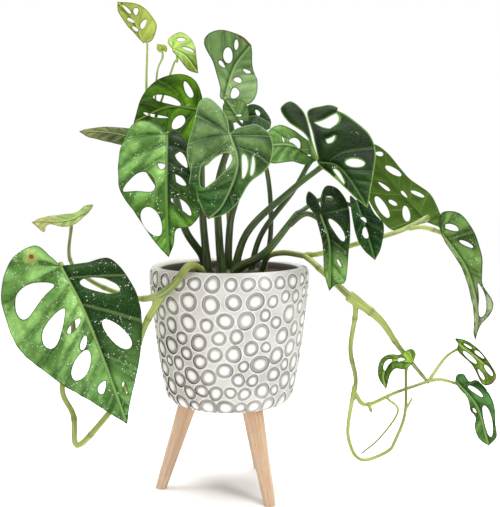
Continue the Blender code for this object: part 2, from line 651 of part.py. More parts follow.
def build_blade(name, spec, paint):
    """A closed blade with cut windows and a midrib below."""
    surface = BladeSurface(spec)
    flat, triangles = flat_triangles(spec, surface.length)
    upper, lower = [], []
    for along, across in flat:
        place = surface.point(along, across)
        normal = surface.normal(along, across)
        rib = 0.0
        if abs(across) < 0.05 and 0 <= along <= surface.length:
            rise = min(along / MIDRIB_RISE, 1.0)
            rib = MIDRIB_DEPTH * rise * (1 - MIDRIB_THINNING * along / surface.length)
        upper.append(place + normal * BLADE_THICKNESS / 2)
        lower.append(place - normal * (BLADE_THICKNESS / 2 + rib))
    count = len(flat)
    faces, edges = [], set()
    for a, b, c in triangles:
        if (flat[b] - flat[a]).cross(flat[c] - flat[a]) < 0:
            b, c = c, b
        faces += [(a, b, c), (count + a, count + c, count + b)]
        edges |= {(a, b), (b, c), (c, a)}
    for a, b in sorted(edges):
        if (b, a) not in edges:
            faces.append((a, count + a, count + b, b))
    return add_object(name, upper + lower, faces, paint)


def tube(name, start_radius, end_radius, path, paint):
    """A round stem along a smooth path, its radius changing evenly from end to end."""
    fine = smooth_path(path, STEM_CURVE_STEPS)
    arc = arc_lengths(fine)
    stops = max(3, math.ceil(arc[-1] / STEM_STEP))
    at = np.linspace(0, arc[-1], stops + 1)
    line = np.array([[np.interp(s, arc, fine[:, k]) for k in range(3)] for s in at])
    sides = THICK_STEM_SIDES if start_radius > THIN_STEM_RADIUS else THIN_STEM_SIDES
    side = unit(np.cross(line[1] - line[0], (0.31, 0.87, 0.39)))
    points = []
    for k, centre in enumerate(line):
        ahead = unit(line[min(k + 1, stops)] - line[max(k - 1, 0)])
        side = unit(side - ahead * np.dot(side, ahead))
        other = np.cross(ahead, side)
        radius = start_radius + (end_radius - start_radius) * k / stops
        for j in range(sides):
            turn = 2 * math.pi * j / sides
            points.append(centre + radius * (math.cos(turn) * side + math.sin(turn) * other))
    return add_object(name, points, ring_faces(stops + 1, sides), paint)


def stalk_path(stem, path, radius):
    """The path, ending squarely below the blade that the stem carries."""
    if stem not in CARRIES:
        return path
    blade, along, across = CARRIES[stem]
    surface = BladeSurface(BLADES[blade])
    foot, below = surface.point(along, across), -surface.normal(along, across)
    gap = BLADE_THICKNESS / 2 + STALK_GAP + STALK_SPREAD * radius
    return path[:-1] + [foot + below * STALK_APPROACH, foot + below * gap]


def build_stock(name, paint):
    """The short stock in the soil that a shoot's petioles grow from."""
    x, y, radius, top = STOCKS[name]
    foot = SOIL_TOP_Z - HOLE_DEPTH + FIT_GAP
    rings = [
        (x, y, foot, radius * STOCK_FOOT_SHARE), (x, y, foot + STOCK_ROUNDING, radius),
        (x, y, top - STOCK_ROUNDING, radius), (x, y, top, radius * STOCK_TOP_SHARE),
    ]
    return level_rings(name + "_stock", rings, STOCK_SIDES, paint)


def build_shoot(name, stems, paint):
    """All the stems of one shoot joined into one body."""
    pieces = [build_stock(name, paint)] if name in STOCKS else []
    for stem, (start, end, path) in stems.items():
        pieces.append(tube(name + "_" + stem, start, end, stalk_path(stem, path, end), paint))
    body = combine(pieces[0], pieces[1:], "UNION")
    body.name = name
    body.data.name = name
    return body


def leg_turn(k):
    """Direction of leg k about the pot's axis."""
    return math.radians(LEG_TURN + 360.0 * k / LEG_COUNT)


def leg_ring(z, radius, turn):
    """Level cut through a leg at height z."""
    reach = LEG_FOOT_SPREAD + (LEG_TOP_SPREAD - LEG_FOOT_SPREAD) * z / POT_BASE_Z
    return reach * math.cos(turn), reach * math.sin(turn), z, radius


def build_leg(name, turn, paint):
    """A tapered round leg with a tenon for the socket in the pot's base."""
    top = POT_BASE_Z - FIT_GAP
    rings = [
        leg_ring(0.0, LEG_FOOT_RADIUS - LEG_FOOT_CHAMFER, turn),
        leg_ring(LEG_FOOT_CHAMFER, LEG_FOOT_RADIUS, turn),
        leg_ring(top, LEG_TOP_RADIUS, turn),
        leg_ring(top, TENON_RADIUS, turn),
        leg_ring(top + TENON_LENGTH, TENON_RADIUS, turn),
    ]
    return level_rings(name, rings, LEG_SIDES, paint)


def wall_radius(z):
    """Outside radius of the pot at height z."""
    heights = [p[1] for p in POT_OUTSIDE]
    return float(np.interp(z, heights, [p[0] for p in POT_OUTSIDE]))


def disc_places():
    """Scattered centres of the pot's raised discs: turn, height and radius of each."""
    picks = np.random.RandomState(DISC_SEED)
    low, high = POT_BASE_Z + DISC_FOOT_MARGIN, POT_RIM_Z - DISC_RIM_MARGIN
    made = []
    for row in range(DISC_ROWS):
        z = low + (high - low) * row / (DISC_ROWS - 1)
        count = round(2 * math.pi * wall_radius(z) / DISC_PITCH)
        for k in range(count):
            turn = 2 * math.pi * (k + 0.5 * (row % 2)) / count
            turn += picks.uniform(-1, 1) * DISC_JITTER_ROUND / wall_radius(z)
            height = z + picks.uniform(-1, 1) * DISC_JITTER_UP
            made.append((turn, height, picks.uniform(*DISC_RADII)))
    return made


def disc(name, turn, z, radius):
    """A low boss standing squarely on the wall."""
    slope = (wall_radius(z + SLOPE_REACH) - wall_radius(z - SLOPE_REACH)) / (2 * SLOPE_REACH)
    out = unit(np.array((math.cos(turn), math.sin(turn), -slope)))
    side = np.array((-math.sin(turn), math.cos(turn), 0.0))
    up = np.cross(out, side)
    base = wall_radius(z)
    centre = np.array((base * math.cos(turn), base * math.sin(turn), z))
    points = []
    for depth, reach in ((-DISC_SINK, radius), (DISC_HEIGHT, radius * DISC_TAPER)):
        for k in range(DISC_SIDES):
            a = 2 * math.pi * k / DISC_SIDES + z
            points.append(centre + out * depth + reach * (math.cos(a) * side + math.sin(a) * up))
    return add_object(name, points, ring_faces(2, DISC_SIDES))


def build_pot(paint):
    """A tapered pot with raised discs and three sockets under its floor."""
    profile = [(0.0, 0.0, z, radius) for radius, z in POT_OUTSIDE + POT_INSIDE]
    pot = level_rings("pot", profile, POT_SIDES, paint)
    bosses = [disc("disc_%d" % k, *place) for k, place in enumerate(disc_places())]
    combine(pot, bosses, "UNION", "MANIFOLD")
    cutters = []
    for k in range(LEG_COUNT):
        rings = [
            leg_ring(POT_BASE_Z - CUT_PAST, TENON_RADIUS + FIT_GAP, leg_turn(k)),
            leg_ring(POT_BASE_Z + TENON_LENGTH, TENON_RADIUS + FIT_GAP, leg_turn(k)),
        ]
        cutters.append(level_rings("socket_%d" % k, rings, LEG_SIDES))
    return combine(pot, cutters, "DIFFERENCE", "MANIFOLD")


def build_soil(paint):
    """Potting soil with a plain hole for each thing that stands in it."""
    profile = [(r - SOIL_GAP, z) for r, z in reversed(POT_INSIDE) if z < SOIL_TOP_Z]
    profile[0] = (profile[0][0], POT_FLOOR_Z + FIT_GAP)
    top = profile[-1][0]
    profile += [(top, SOIL_TOP_Z - SOIL_EDGE), (top - SOIL_EDGE, SOIL_TOP_Z)]
    soil = level_rings("soil", [(0.0, 0.0, z, r) for r, z in profile], SOIL_SIDES, paint)
    holes = [(x, y, radius) for x, y, radius, _ in STOCKS.values()]
    holes += list(RUNNER_HOLES.values())
    holes.append((STAKE_FOOT[0], STAKE_FOOT[1], STAKE_HOLE_RADIUS))
    cutters = []
    for k, (x, y, radius) in enumerate(holes):
        wide = radius + FIT_GAP
        rings = [(x, y, SOIL_TOP_Z - HOLE_DEPTH, wide), (x, y, SOIL_TOP_Z + CUT_PAST, wide)]
        cutters.append(level_rings("hole_%d" % k, rings, HOLE_SIDES))
    return combine(soil, cutters, "DIFFERENCE", "MANIFOLD")


def build_stake(paint):
    """A slim straight stake."""
    rings = [(*STAKE_FOOT, STAKE_RADIUS), (*STAKE_HEAD, STAKE_HEAD_RADIUS)]
    return level_rings("support_stake", rings, STAKE_SIDES, paint)


def centre_on_origin():
    """Move everything so that the whole stands centred over the origin."""
    objects = [o for o in bpy.data.objects if o.type == "MESH"]
    corners = np.array([v.co[:] for o in objects for v in o.data.vertices])
    middle = (corners.min(axis=0) + corners.max(axis=0)) / 2
    for item in objects:
        item.location = (-middle[0], -middle[1], 0.0)


def main():
    clear_scene()
    build_pot(material("washed_cement", (0.80, 0.78, 0.75), 0.75))
    build_soil(material("soil", (0.03, 0.022, 0.016), 0.95))
    beech = material("beech", (0.72, 0.52, 0.33), 0.45)
    for k in range(LEG_COUNT):
        build_leg("leg_%d" % (k + 1), leg_turn(k), beech)
    build_stake(material("stake", (0.62, 0.36, 0.14), 0.6))
    petiole = material("petiole", (0.12, 0.24, 0.05), 0.4)
    runner = material("runner", (0.45, 0.55, 0.15), 0.45)
    for name, stems in STEMS.items():
        build_shoot(name, stems, runner if name.startswith("vine") else petiole)
    for name, spec in BLADES.items():
        leaf = material(name, BLADE_COLOUR[AGES.get(name, "mature")], 0.35)
        build_blade(name, spec, leaf)
    centre_on_origin()


main()
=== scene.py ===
"""Swiss cheese vine in a ring-patterned cement pot on three wooden legs.

Lengths in the tables are millimetres, measured from the pot's axis at floor level, with X to
the right, Y away from the front and Z up. Each finished piece takes the place of one solid of
the frame and keeps its form: leaves are flat outlines with windows laid on curved sheets,
stems are circles carried along smooth paths, and the pot, soil and legs are profiles carried
round an axis.
"""

import math

import bpy
import numpy as np
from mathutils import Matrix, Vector, geometry


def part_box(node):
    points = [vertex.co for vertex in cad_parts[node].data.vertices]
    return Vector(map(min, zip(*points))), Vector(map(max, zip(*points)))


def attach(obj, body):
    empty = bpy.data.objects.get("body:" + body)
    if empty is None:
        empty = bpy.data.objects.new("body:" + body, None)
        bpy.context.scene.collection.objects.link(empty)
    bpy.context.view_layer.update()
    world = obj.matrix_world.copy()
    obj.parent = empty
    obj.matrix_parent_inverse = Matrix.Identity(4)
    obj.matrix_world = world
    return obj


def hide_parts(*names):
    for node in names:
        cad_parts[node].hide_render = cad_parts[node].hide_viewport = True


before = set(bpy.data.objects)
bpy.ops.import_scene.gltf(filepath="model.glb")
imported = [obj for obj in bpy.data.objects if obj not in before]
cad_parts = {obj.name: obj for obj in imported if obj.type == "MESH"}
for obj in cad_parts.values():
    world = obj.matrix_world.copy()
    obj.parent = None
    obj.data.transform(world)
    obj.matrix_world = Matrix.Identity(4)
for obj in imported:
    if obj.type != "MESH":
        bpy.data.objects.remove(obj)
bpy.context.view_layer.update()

MM = 0.001
soil_low, soil_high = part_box("soil")
AXIS = np.array(((soil_low.x + soil_high.x) / 2, (soil_low.y + soil_high.y) / 2, 0.0))

# Pot, soil and legs
POT_BASE_Z = 85.5
POT_FLOOR_Z = 99.5
POT_RIM_Z = 218.0
POT_OUTSIDE = [  # radius, height, from the foot of the wall up to the crest of the rim
    (50.0, POT_BASE_Z), (54.5, 87.2), (58.5, 91.5), (61.2, 98.5), (65.6, 121.0), (69.6, 148.0),
    (73.0, 178.0), (75.2, 203.0), (75.3, 211.0), (73.8, 216.2), (70.8, POT_RIM_Z),
]
POT_INSIDE = [  # from the rim down to the floor
    (67.4, 216.6), (65.0, 212.5), (64.4, 206.0), (62.0, 170.0), (58.0, 130.0),
    (52.5, 106.0), (47.0, POT_FLOOR_Z),
]
POT_TURNS = 460
WALL_GAP = 0.85
RING_SEED = 11
RING_COUNT = 222
RING_ROUNDS = 800
RING_RADII = (5.6, 9.6)
RING_MEAN_WIDE = 70.0
RING_SPACING = 0.8
RING_FIRST_ROOM = 1.35
RING_FOOT_Z = 93.0
RING_TOP_Z = 208.0
SOIL_TOP_Z = 208.0
SOIL_GAP = 0.5
SOIL_TURNS = 220
SOIL_SEED = 5
LEG_COUNT = 3
LEG_TURN = 184.4
LEG_FOOT_SPREAD = 67.0
LEG_TOP_SPREAD = 39.5
LEG_FOOT_RADIUS = 5.4
LEG_TOP_RADIUS = 9.6
TENON_RADIUS = 6.0
TENON_LENGTH = 7.0
STAKE_FOOT = (2.0, 6.0, 196.0)
STAKE_HEAD = (-5.0, 6.0, 322.0)
STAKE_RADII = (1.4, 1.0)

# Leaf sheets
SHEET_THICKNESS = 0.7
MIDRIB_STEPS = 16
TANGENT_REACH = 1.5
NORMAL_STEP = 0.4
RIPPLE_PITCH = 46.0
RIPPLE_HEIGHT = 1.6
RIPPLE_REACH = 45.0
RIPPLE_SHIFT = 1.3
EDGE_GAP = 1.3
NET_GAP = 1.7
VEIN_PITCH = 13.0
VEIN_BASE_LEAN = math.radians(80)
VEIN_TIP_LEAN = math.radians(38)
LOBE_SPREAD = 17.0

# Studio, in metres
FLOOR_REACH = 1.3
CEILING_LIGHT = 0.3

# Stems
STEM_SIDES = 16
STEM_GAP = 2.2
STALK_APPROACH = 9.0
TENDER_STEMS = ("petiole_b2", "petiole_b3", "petiole_b4")

# Each blade has a midrib from the stalk to the tip, the direction that its upper face looks
# at the stalk and at the tip, the fold of its halves in degrees and their curl in
# milliradians per millimetre. Its edge runs from the notch to the tip, once by the points
# on the left and once by those on the right, all (along the midrib, across it). A window
# is its inner end, its outer end, its half width at each, and how far its middle bows.
BLADES = {
    "blade_front_left": {
        "midrib": [(-149, -66, 224), (-128, -78, 188), (-111, -84, 147), (-91, -72, 82)],
        "face": (0.1, -0.9, 0.4), "face_tip": (0.1, -1.0, 0.05), "fold": -6, "curl": -4,
        "tip": (158, 0),
        "left": [(-12, -4), (-28, -12), (-27, -36), (-6, -58), (30, -68), (62, -65),
                 (100, -45), (132, -20)],
        "right": [(7, 22), (13, 44), (45, 50), (75, 44), (107, 29), (138, 10)],
        "windows": [
            (12, -13, 22, -54, 6, 14, -7), (36, -15, 65, -42, 5, 11, -3),
            (51, -6, 59, -21, 3, 3, 0), (67, -7, 78, -15, 2, 3, 0),
            (80, -10, 103, -30, 6, 8, 0), (112, -5, 123, -13, 2, 4, -1),
            (21, 8, 42, 37, 6, 7, 1), (60, 12, 92, 26, 6, 8, 0), (119, 9, 131, 9, 2, 1, 0),
        ],
    },
    "blade_side_small": {
        "midrib": [(-129, -10, 273), (-147, -38, 263), (-172, -64, 264)],
        "face": (0.1, -0.4, 0.9), "face_tip": (0.25, -0.45, 0.85), "fold": 0, "curl": 0,
        "tip": (75, 2),
        "left": [(-5, -3), (2, -7), (15, -5), (35, -11), (57, -7)],
        "right": [(8, 3), (25, 6), (43, 10), (56, 5), (64, 9), (71, 17)],
        "windows": [],
    },
    "blade_top_young": {
        "midrib": [(-83, 26, 429), (-92, 31, 452), (-107, 26, 468)],
        "face": (-0.45, -0.9, 0.1), "face_tip": (-0.35, -0.9, 0.2), "fold": 12, "curl": 0,
        "tip": (48, 0),
        "left": [(-3, -11), (6, -22), (18, -20), (33, -13)],
        "right": [(12, 5), (24, 9), (40, 7)],
        "windows": [
            (43, -1, 31, -1, 1, 2, 0), (27, -4, 31, -10, 2, 3, 1), (22, 1, 30, 5, 1, 2, 0),
            (14, -3, 18, -13, 4, 2, 0), (13, 1, 20, 5, 2, 1, 0),
        ],
    },
    "blade_top_bud": {
        "midrib": [(-63, 6, 421), (-64, -2, 424), (-68, -8, 425)],
        "face": (-0.1, -0.5, 0.85), "face_tip": (-0.2, -0.5, 0.85), "fold": 6, "curl": 0,
        "tip": (14, 0),
        "left": [(-6, -3), (2, -5), (9, -3)],
        "right": [(-6, 3), (2, 5), (9, 3)],
        "windows": [],
    },
    "blade_top_hood": {
        "midrib": [(-53, 2, 421), (-40, -10, 413), (-28, -12, 397)],
        "face": (0.3, -0.7, 0.65), "face_tip": (0.5, -0.7, 0.55), "fold": -2, "curl": -2,
        "tip": (39, 0),
        "left": [(4, -3), (16, -7), (31, -8)],
        "right": [(-16, 7), (-26, 20), (-30, 35), (-17, 34), (1, 25), (27, 9)],
        "windows": [(-11, 17, -20, 27, 5, 4, -1), (1, 11, 18, 12, 4, 2, 1)],
    },
    "blade_back_round": {
        "midrib": [(-26, 2, 365), (-58, 16, 368), (-91, 16, 354)],
        "face": (0, -0.95, 0.25), "face_tip": (-0.1, -0.95, 0.2), "fold": 4, "curl": -3,
        "tip": (72, 0),
        "left": [(3, -13), (17, -28), (33, -31), (55, -18)],
        "right": [(-2, 15), (4, 39), (24, 50), (66, 37), (75, 17)],
        "windows": [
            (23, -1, 46, -14, 3, 4, 1), (13, -10, 24, -25, 4, 2, 1),
            (60, -4, 37, 11, 2, 1, -2), (13, 13, 32, 20, 8, 5, 0),
        ],
    },
    "blade_drooping": {
        "midrib": [(-54, -56, 341), (-53, -81, 300), (-52, -90, 262), (-51, -90, 235)],
        "face": (-0.1, -0.85, 0.5), "face_tip": (0, -1.0, 0.1), "fold": -4, "curl": -6,
        "tip": (115, 0),
        "left": [(-12, -9), (-19, -28), (-8, -40), (20, -46), (52, -43), (76, -28), (99, -13)],
        "right": [(-4, 8), (14, 19), (42, 23), (72, 30), (88, 21), (91, 8), (104, 5)],
        "windows": [
            (51, -10, 53, -40, 13, 6, -6), (96, -7, 71, -20, 7, 9, 0),
            (19, 9, 35, 18, 5, 2, 0), (42, 5, 52, 17, 3, 3, 0),
            (64, 4, 79, 21, 4, 3, 2), (35, -2, 30, -8, 4, 1, 0),
        ],
    },
    "blade_centre": {
        "midrib": [(2, -74, 341), (9, -93, 314), (-3, -98, 282), (-16, -94, 268)],
        "face": (-0.05, -0.85, 0.5), "face_tip": (0.1, -1.0, 0.05), "fold": -5, "curl": -6,
        "tip": (89, 0),
        "left": [(-20, 1), (-42, -8), (-44, -18), (-22, -29), (6, -42), (43, -41), (78, -30),
                 (87, -10)],
        "right": [(-5, 10), (-5, 27), (11, 35), (30, 29), (45, 14), (67, 10)],
        "windows": [
            (18, -9, 66, -23, 14, 7, -5), (24, 6, 44, 7, 3, 2, 0), (26, 14, 40, 13, 1, 2, 0),
        ],
    },
    "blade_top_tall": {
        "midrib": [(-4, -8, 373), (5, 6, 404), (20, 4, 424)],
        "face": (-0.15, -0.95, 0.2), "face_tip": (0.2, -0.95, 0.3), "fold": 4, "curl": 0,
        "tip": (62, 0),
        "left": [(-3, -12), (1, -25), (14, -28), (37, -22), (54, -8)],
        "right": [(2, 5), (14, 8), (32, 20), (42, 38), (57, 27), (63, 12)],
        "windows": [
            (37, 6, 46, 16, 4, 4, 0), (32, 8, 35, 16, 1, 2, 0), (49, 8, 57, 14, 2, 2, 0),
            (38, -8, 39, -16, 2, 3, -1), (24, -3, 22, -11, 3, 3, 1),
            (15, -6, 3, -8, 3, 5, 1),
        ],
    },
    "blade_inner_pale": {
        "midrib": [(11, -34, 354), (4, -40, 364), (-2, -42, 373)],
        "face": (0, -0.9, 0.43), "face_tip": (0, -0.9, 0.43), "fold": 0, "curl": 0,
        "tip": (24, 0),
        "left": [(-6, -6), (5, -13), (16, -11)],
        "right": [(3, 7), (11, 10), (20, 7)],
        "windows": [(7, 2, 2, -4, 1, 1, 0)],
    },
    "blade_inner_curled": {
        "midrib": [(14, -18, 356), (25, -20, 358), (38, -28, 351)],
        "face": (0.1, -0.8, 0.6), "face_tip": (0.3, -0.85, 0.4), "fold": 8, "curl": 0,
        "tip": (33, -5),
        "left": [(0, -10), (22, -18), (31, -12)],
        "right": [(7, 12), (17, 8), (27, 3)],
        "windows": [(14, 1, 10, 7, 2, 1, 0)],
    },
    "blade_mid_right": {
        "midrib": [(82, -18, 318), (58, -31, 331), (32, -46, 331)],
        "face": (-0.1, -0.75, 0.65), "face_tip": (-0.2, -0.9, 0.4), "fold": 4, "curl": 0,
        "tip": (62, 4),
        "left": [(8, -11), (23, -14), (38, -21), (55, -10)],
        "right": [(9, 11), (20, 16), (48, 21), (62, 17)],
        "windows": [(21, -1, 33, -4, 5, 3, -3), (38, -2, 38, -9, 1, 1, 0), (7, -1, 12, 2, 1, 1, 0)],
    },
    "blade_big_right": {
        "midrib": [(82, -50, 316), (97, -57, 313), (109, -72, 299), (121, -94, 277)],
        "face": (-0.25, -0.9, 0.35), "face_tip": (-0.35, -0.8, 0.5), "fold": -3, "curl": -4,
        "tip": (74, 0), "notch": (-2, 3),
        "left": [(-12, 18), (-29, 46), (-46, 57), (-54, 48), (-42, 35), (-22, 25), (-9, 9),
                 (3, -5), (20, -10), (52, -6)],
        "right": [(-15, 27), (-28, 50), (-10, 60), (7, 54), (18, 42), (50, 16)],
        "windows": [
            (-17, 39, 7, 49, 2, 11, -4), (0, 22, 8, 28, 4, 1, -3), (21, 7, 32, 19, 4, 4, 0),
            (16, -4, 38, -6, 2, 1, 0),
        ],
    },
    "blade_far_right": {
        "midrib": [(189, 4, 258), (166, 17, 284), (140, 21, 314)],
        "face": (0.1, 0.95, -0.3), "face_tip": (0.3, 0.9, -0.3), "fold": 4, "curl": 0,
        "tip": (94, 5),
        "left": [(8, -15), (18, -30), (46, -29), (62, -22), (80, -6)],
        "right": [(-15, 9), (-2, 15), (20, 21), (45, 16), (76, 16), (91, 12)],
        "windows": [
            (85, 6, 78, 12, 1, 3, 0), (68, 6, 51, 12, 3, 3, 0), (47, -6, 61, -9, 2, 1, 0),
            (32, -10, 41, -13, 2, 2, 0), (31, 2, 40, 2, 1, 2, 0), (34, 9, 21, 15, 2, 2, 0),
            (52, -20, 28, -24, 4, 4, 0), (27, -5, 13, -13, 3, 4, 0),
        ],
    },
    "blade_hanging": {
        "midrib": [(200, -11, 249), (222, -20, 217), (233, -21, 178), (233, -16, 148)],
        "face": (-0.5, -0.85, 0.1), "face_tip": (-0.5, -0.85, 0), "fold": 0, "curl": 0,
        "tip": (112, 0),
        "left": [(15, -3), (57, -4), (98, -3)],
        "right": [(-9, 3), (-15, 13), (-5, 25), (14, 26), (36, 19), (57, 10), (78, 16), (95, 4)],
        "windows": [(-4, 6, 8, 15, 3, 3, 1), (16, 9, 28, 16, 2, 2, 0), (88, 3, 56, 6, 5, 2, -2)],
    },
    "blade_wrinkled": {
        "midrib": [(117, -34, 281), (124, -48, 257), (133, -48, 228)],
        "face": (-0.1, -0.9, 0.4), "face_tip": (0, -1.0, 0.1), "fold": 0, "curl": -8,
        "tip": (60, 0),
        "left": [(-6, -4), (7, -7), (33, -10), (48, -7)],
        "right": [(-1, 9), (18, 12), (31, 17), (50, 9)],
        "windows": [(18, -1, 25, 2, 2, 1, 1), (28, 0, 39, -1, 2, 3, -1)],
    },
    "blade_beside_pot": {
        "midrib": [(82, -70, 270), (89, -83, 245), (89, -86, 206)],
        "face": (-0.1, -0.9, 0.4), "face_tip": (-0.1, -1.0, 0.1), "fold": -4, "curl": -5,
        "tip": (70, 0), "notch": (-7, 2),
        "left": [(-17, 1), (-25, -4), (-15, -9), (0, -5), (23, -6), (52, -5)],
        "right": [(-17, 5), (-26, 13), (-19, 23), (2, 26), (33, 17), (61, 14), (64, 6)],
        "windows": [(-15, 9, -12, 15, 2, 2, 0), (6, 6, 28, 13, 3, 4, 0), (42, 6, 49, 10, 1, 1, 0)],
    },
    "blade_far_left": {
        "midrib": [(-87, -8, 338), (-112, -17, 343), (-137, -28, 344)],
        "face": (0.1, -0.55, 0.85), "face_tip": (0.1, -0.45, 0.9), "fold": 0, "curl": 0,
        "tip": (54, 0),
        "left": [(-2, -13), (19, -12), (42, -6)],
        "right": [(5, 15), (28, 18), (47, 12)],
        "windows": [],
    },
    "blade_lacy": {
        "midrib": [(212, -40, 149), (229, -51, 136), (245, -56, 121)],
        "face": (-0.2, -0.9, 0.4), "face_tip": (-0.1, -0.95, 0.3), "fold": 0, "curl": 0,
        "tip": (47, -2),
        "left": [(5, -6), (23, -8), (41, -14), (47, -9)],
        "right": [(-5, 2), (5, 7), (21, 7), (42, 2)],
        "windows": [
            (4, 3, 13, 4, 1, 1, 0), (16, 4, 27, 4, 2, 1, 0), (8, -3, 25, -4, 2, 2, 0),
            (31, 0, 43, -2, 2, 2, 0), (29, -7, 40, -10, 1, 2, 0),
        ],
    },
    "blade_low_long": {
        "midrib": [(210, -40, 114), (227, -56, 94), (239, -54, 57)],
        "face": (-0.3, -0.9, 0.3), "face_tip": (-0.2, -1.0, 0), "fold": 0, "curl": 0,
        "tip": (71, 0),
        "left": [(6, -2), (20, -3), (32, -7), (41, -5), (50, -8), (62, -7)],
        "right": [(-3, 5), (1, 10), (10, 9), (15, 15), (33, 15), (50, 11), (64, 9)],
        "windows": [(63, 4, 33, 6, 3, 4, 0), (12, 5, 27, 9, 2, 2, 0), (31, -4, 37, -3, 1, 1, 0)],
    },
    "blade_low_curled": {
        "midrib": [(169, -52, 134), (148, -66, 138), (140, -66, 126), (143, -62, 111)],
        "face": (-0.2, -0.7, 0.7), "face_tip": (-0.5, -0.85, 0.1), "fold": 0, "curl": 0,
        "tip": (57, 0),
        "left": [(-9, -10), (-9, -17), (1, -14), (16, -6), (32, -8), (46, -4)],
        "right": [(15, 9), (33, 7), (46, 5)],
        "windows": [(20, 1, 9, -2, 2, 1, 1), (38, 0, 25, -1, 2, 2, 1)],
    },
}

# Each stem has its radius at the start and at the end, then the points that it is led by.
# The last point of a stem that carries a blade is replaced by the blade's foot.
STEMS = {
    "shoot_left": {
        "petiole_a": (3.9, 3.0, [(-25, 3, 200), (-25, 0, 224), (-41, -18, 253),
                                 (-50, -43, 296), (-54, -52, 338)]),
        "petiole_a2": (2.2, 1.8, [(-42, -19, 255), (-64, -18, 290), (-86, -9, 335)]),
        "petiole_b": (4.0, 2.6, [(-19, -4, 200), (-25, -6, 265), (-26, -2, 331), (-25, 4, 362)]),
        "petiole_b2": (1.8, 0.9, [(-25, -5, 275), (-63, 33, 327), (-80, 34, 368),
                                  (-83, 27, 428)]),
        "petiole_b3": (1.1, 0.9, [(-63, 33, 327), (-72, 34, 361), (-70, 28, 400),
                                  (-63, 8, 420)]),
        "petiole_b4": (1.2, 0.9, [(-72, 34, 359), (-60, 31, 392), (-52, 15, 410),
                                  (-48, 3, 414)]),
    },
    "shoot_mid": {
        "petiole_c": (4.0, 2.8, [(-5, -14, 200), (-9, -20, 242), (-9, -50, 296), (2, -69, 339)]),
        "petiole_d": (3.8, 2.4, [(-2, -4, 200), (1, -8, 258), (9, -6, 299), (-3, -5, 371)]),
        "petiole_e": (3.9, 2.4, [(2, -12, 200), (17, -20, 250), (57, -38, 290), (81, -46, 315)]),
        "petiole_h": (4.4, 2.8, [(4, -18, 200), (8, -22, 216), (34, -34, 233), (62, -48, 269)]),
        "petiole_h1": (2.6, 2.2, [(56, -45, 260), (70, -56, 270), (80, -66, 271)]),
        "petiole_h2": (2.2, 1.8, [(62, -48, 269), (87, -34, 282), (116, -29, 282)]),
    },
    "shoot_right": {
        "petiole_f": (2.9, 2.2, [(18, 3, 200), (30, -2, 246), (60, -18, 289), (80, -14, 316)]),
        "petiole_g": (2.6, 2.0, [(27, 7, 200), (39, 0, 243), (36, -7, 305), (16, -14, 353)]),
        "petiole_g2": (1.7, 1.5, [(31, -8, 323), (21, -18, 340), (12, -31, 352)]),
    },
    "vine_right": {
        "runner": (2.6, 2.8, [(34, 16, 200), (35, 13, 222), (51, 2, 229), (75, -14, 227)]),
        "runner_up": (2.5, 2.2, [(73, -12, 228), (87, -22, 231), (119, -24, 240),
                                 (160, -14, 251), (185, -1, 258)]),
        "petiole_far": (2.2, 2.0, [(170, -11, 254), (185, -8, 254), (198, -6, 250)]),
        "runner_down": (2.6, 3.0, [(73, -13, 227), (85, -34, 217), (110, -54, 195)]),
        "sheath": (4.3, 1.4, [(110, -54, 195), (138, -50, 173), (158, -37, 145),
                              (186, -36, 111)]),
        "trail": (2.3, 2.0, [(112, -54, 197), (116, -50, 181), (112, -46, 145),
                             (117, -46, 118), (115, -46, 98)]),
        "trail_side": (1.8, 1.4, [(116, -46, 104), (127, -47, 93), (155, -44, 104),
                                  (187, -36, 113)]),
        "trail_down": (1.8, 1.3, [(116, -46, 110), (110, -50, 72), (113, -50, 54),
                                  (119, -50, 44), (129, -50, 42), (147, -50, 50),
                                  (153, -51, 59), (162, -53, 87), (169, -50, 131)]),
        "spike": (1.2, 0.6, [(163, -53, 91), (168, -55, 101)]),
        "bud": (1.6, 1.2, [(129, -47, 95), (131, -52, 88)]),
        "air_root": (1.1, 0.7, [(146, -46, 99), (158, -36, 84), (141, -40, 60),
                                (124, -43, 46)]),
        "petiole_lacy": (1.4, 1.1, [(186, -36, 113), (202, -34, 135), (211, -37, 148)]),
        "petiole_low": (1.5, 1.2, [(186, -36, 113), (198, -36, 114), (209, -37, 114)]),
    },
    "vine_left": {
        "runner": (3.6, 3.4, [(-24, -26, 200), (-24, -29, 210), (-27, -45, 219),
                              (-35, -66, 224), (-47, -71, 209), (-63, -58, 195)]),
        "runner_back": (3.0, 1.2, [(-60, -60, 197), (-84, -40, 191), (-122, -36, 204),
                                   (-145, -38, 225), (-146, -39, 255)]),
        "runner_loop": (3.0, 2.3, [(-60, -59, 196), (-77, -57, 165), (-94, -50, 111),
                                   (-115, -60, 81), (-138, -62, 59), (-142, -55, 85),
                                   (-153, -49, 110), (-142, -46, 158), (-149, -60, 220)]),
    },
}

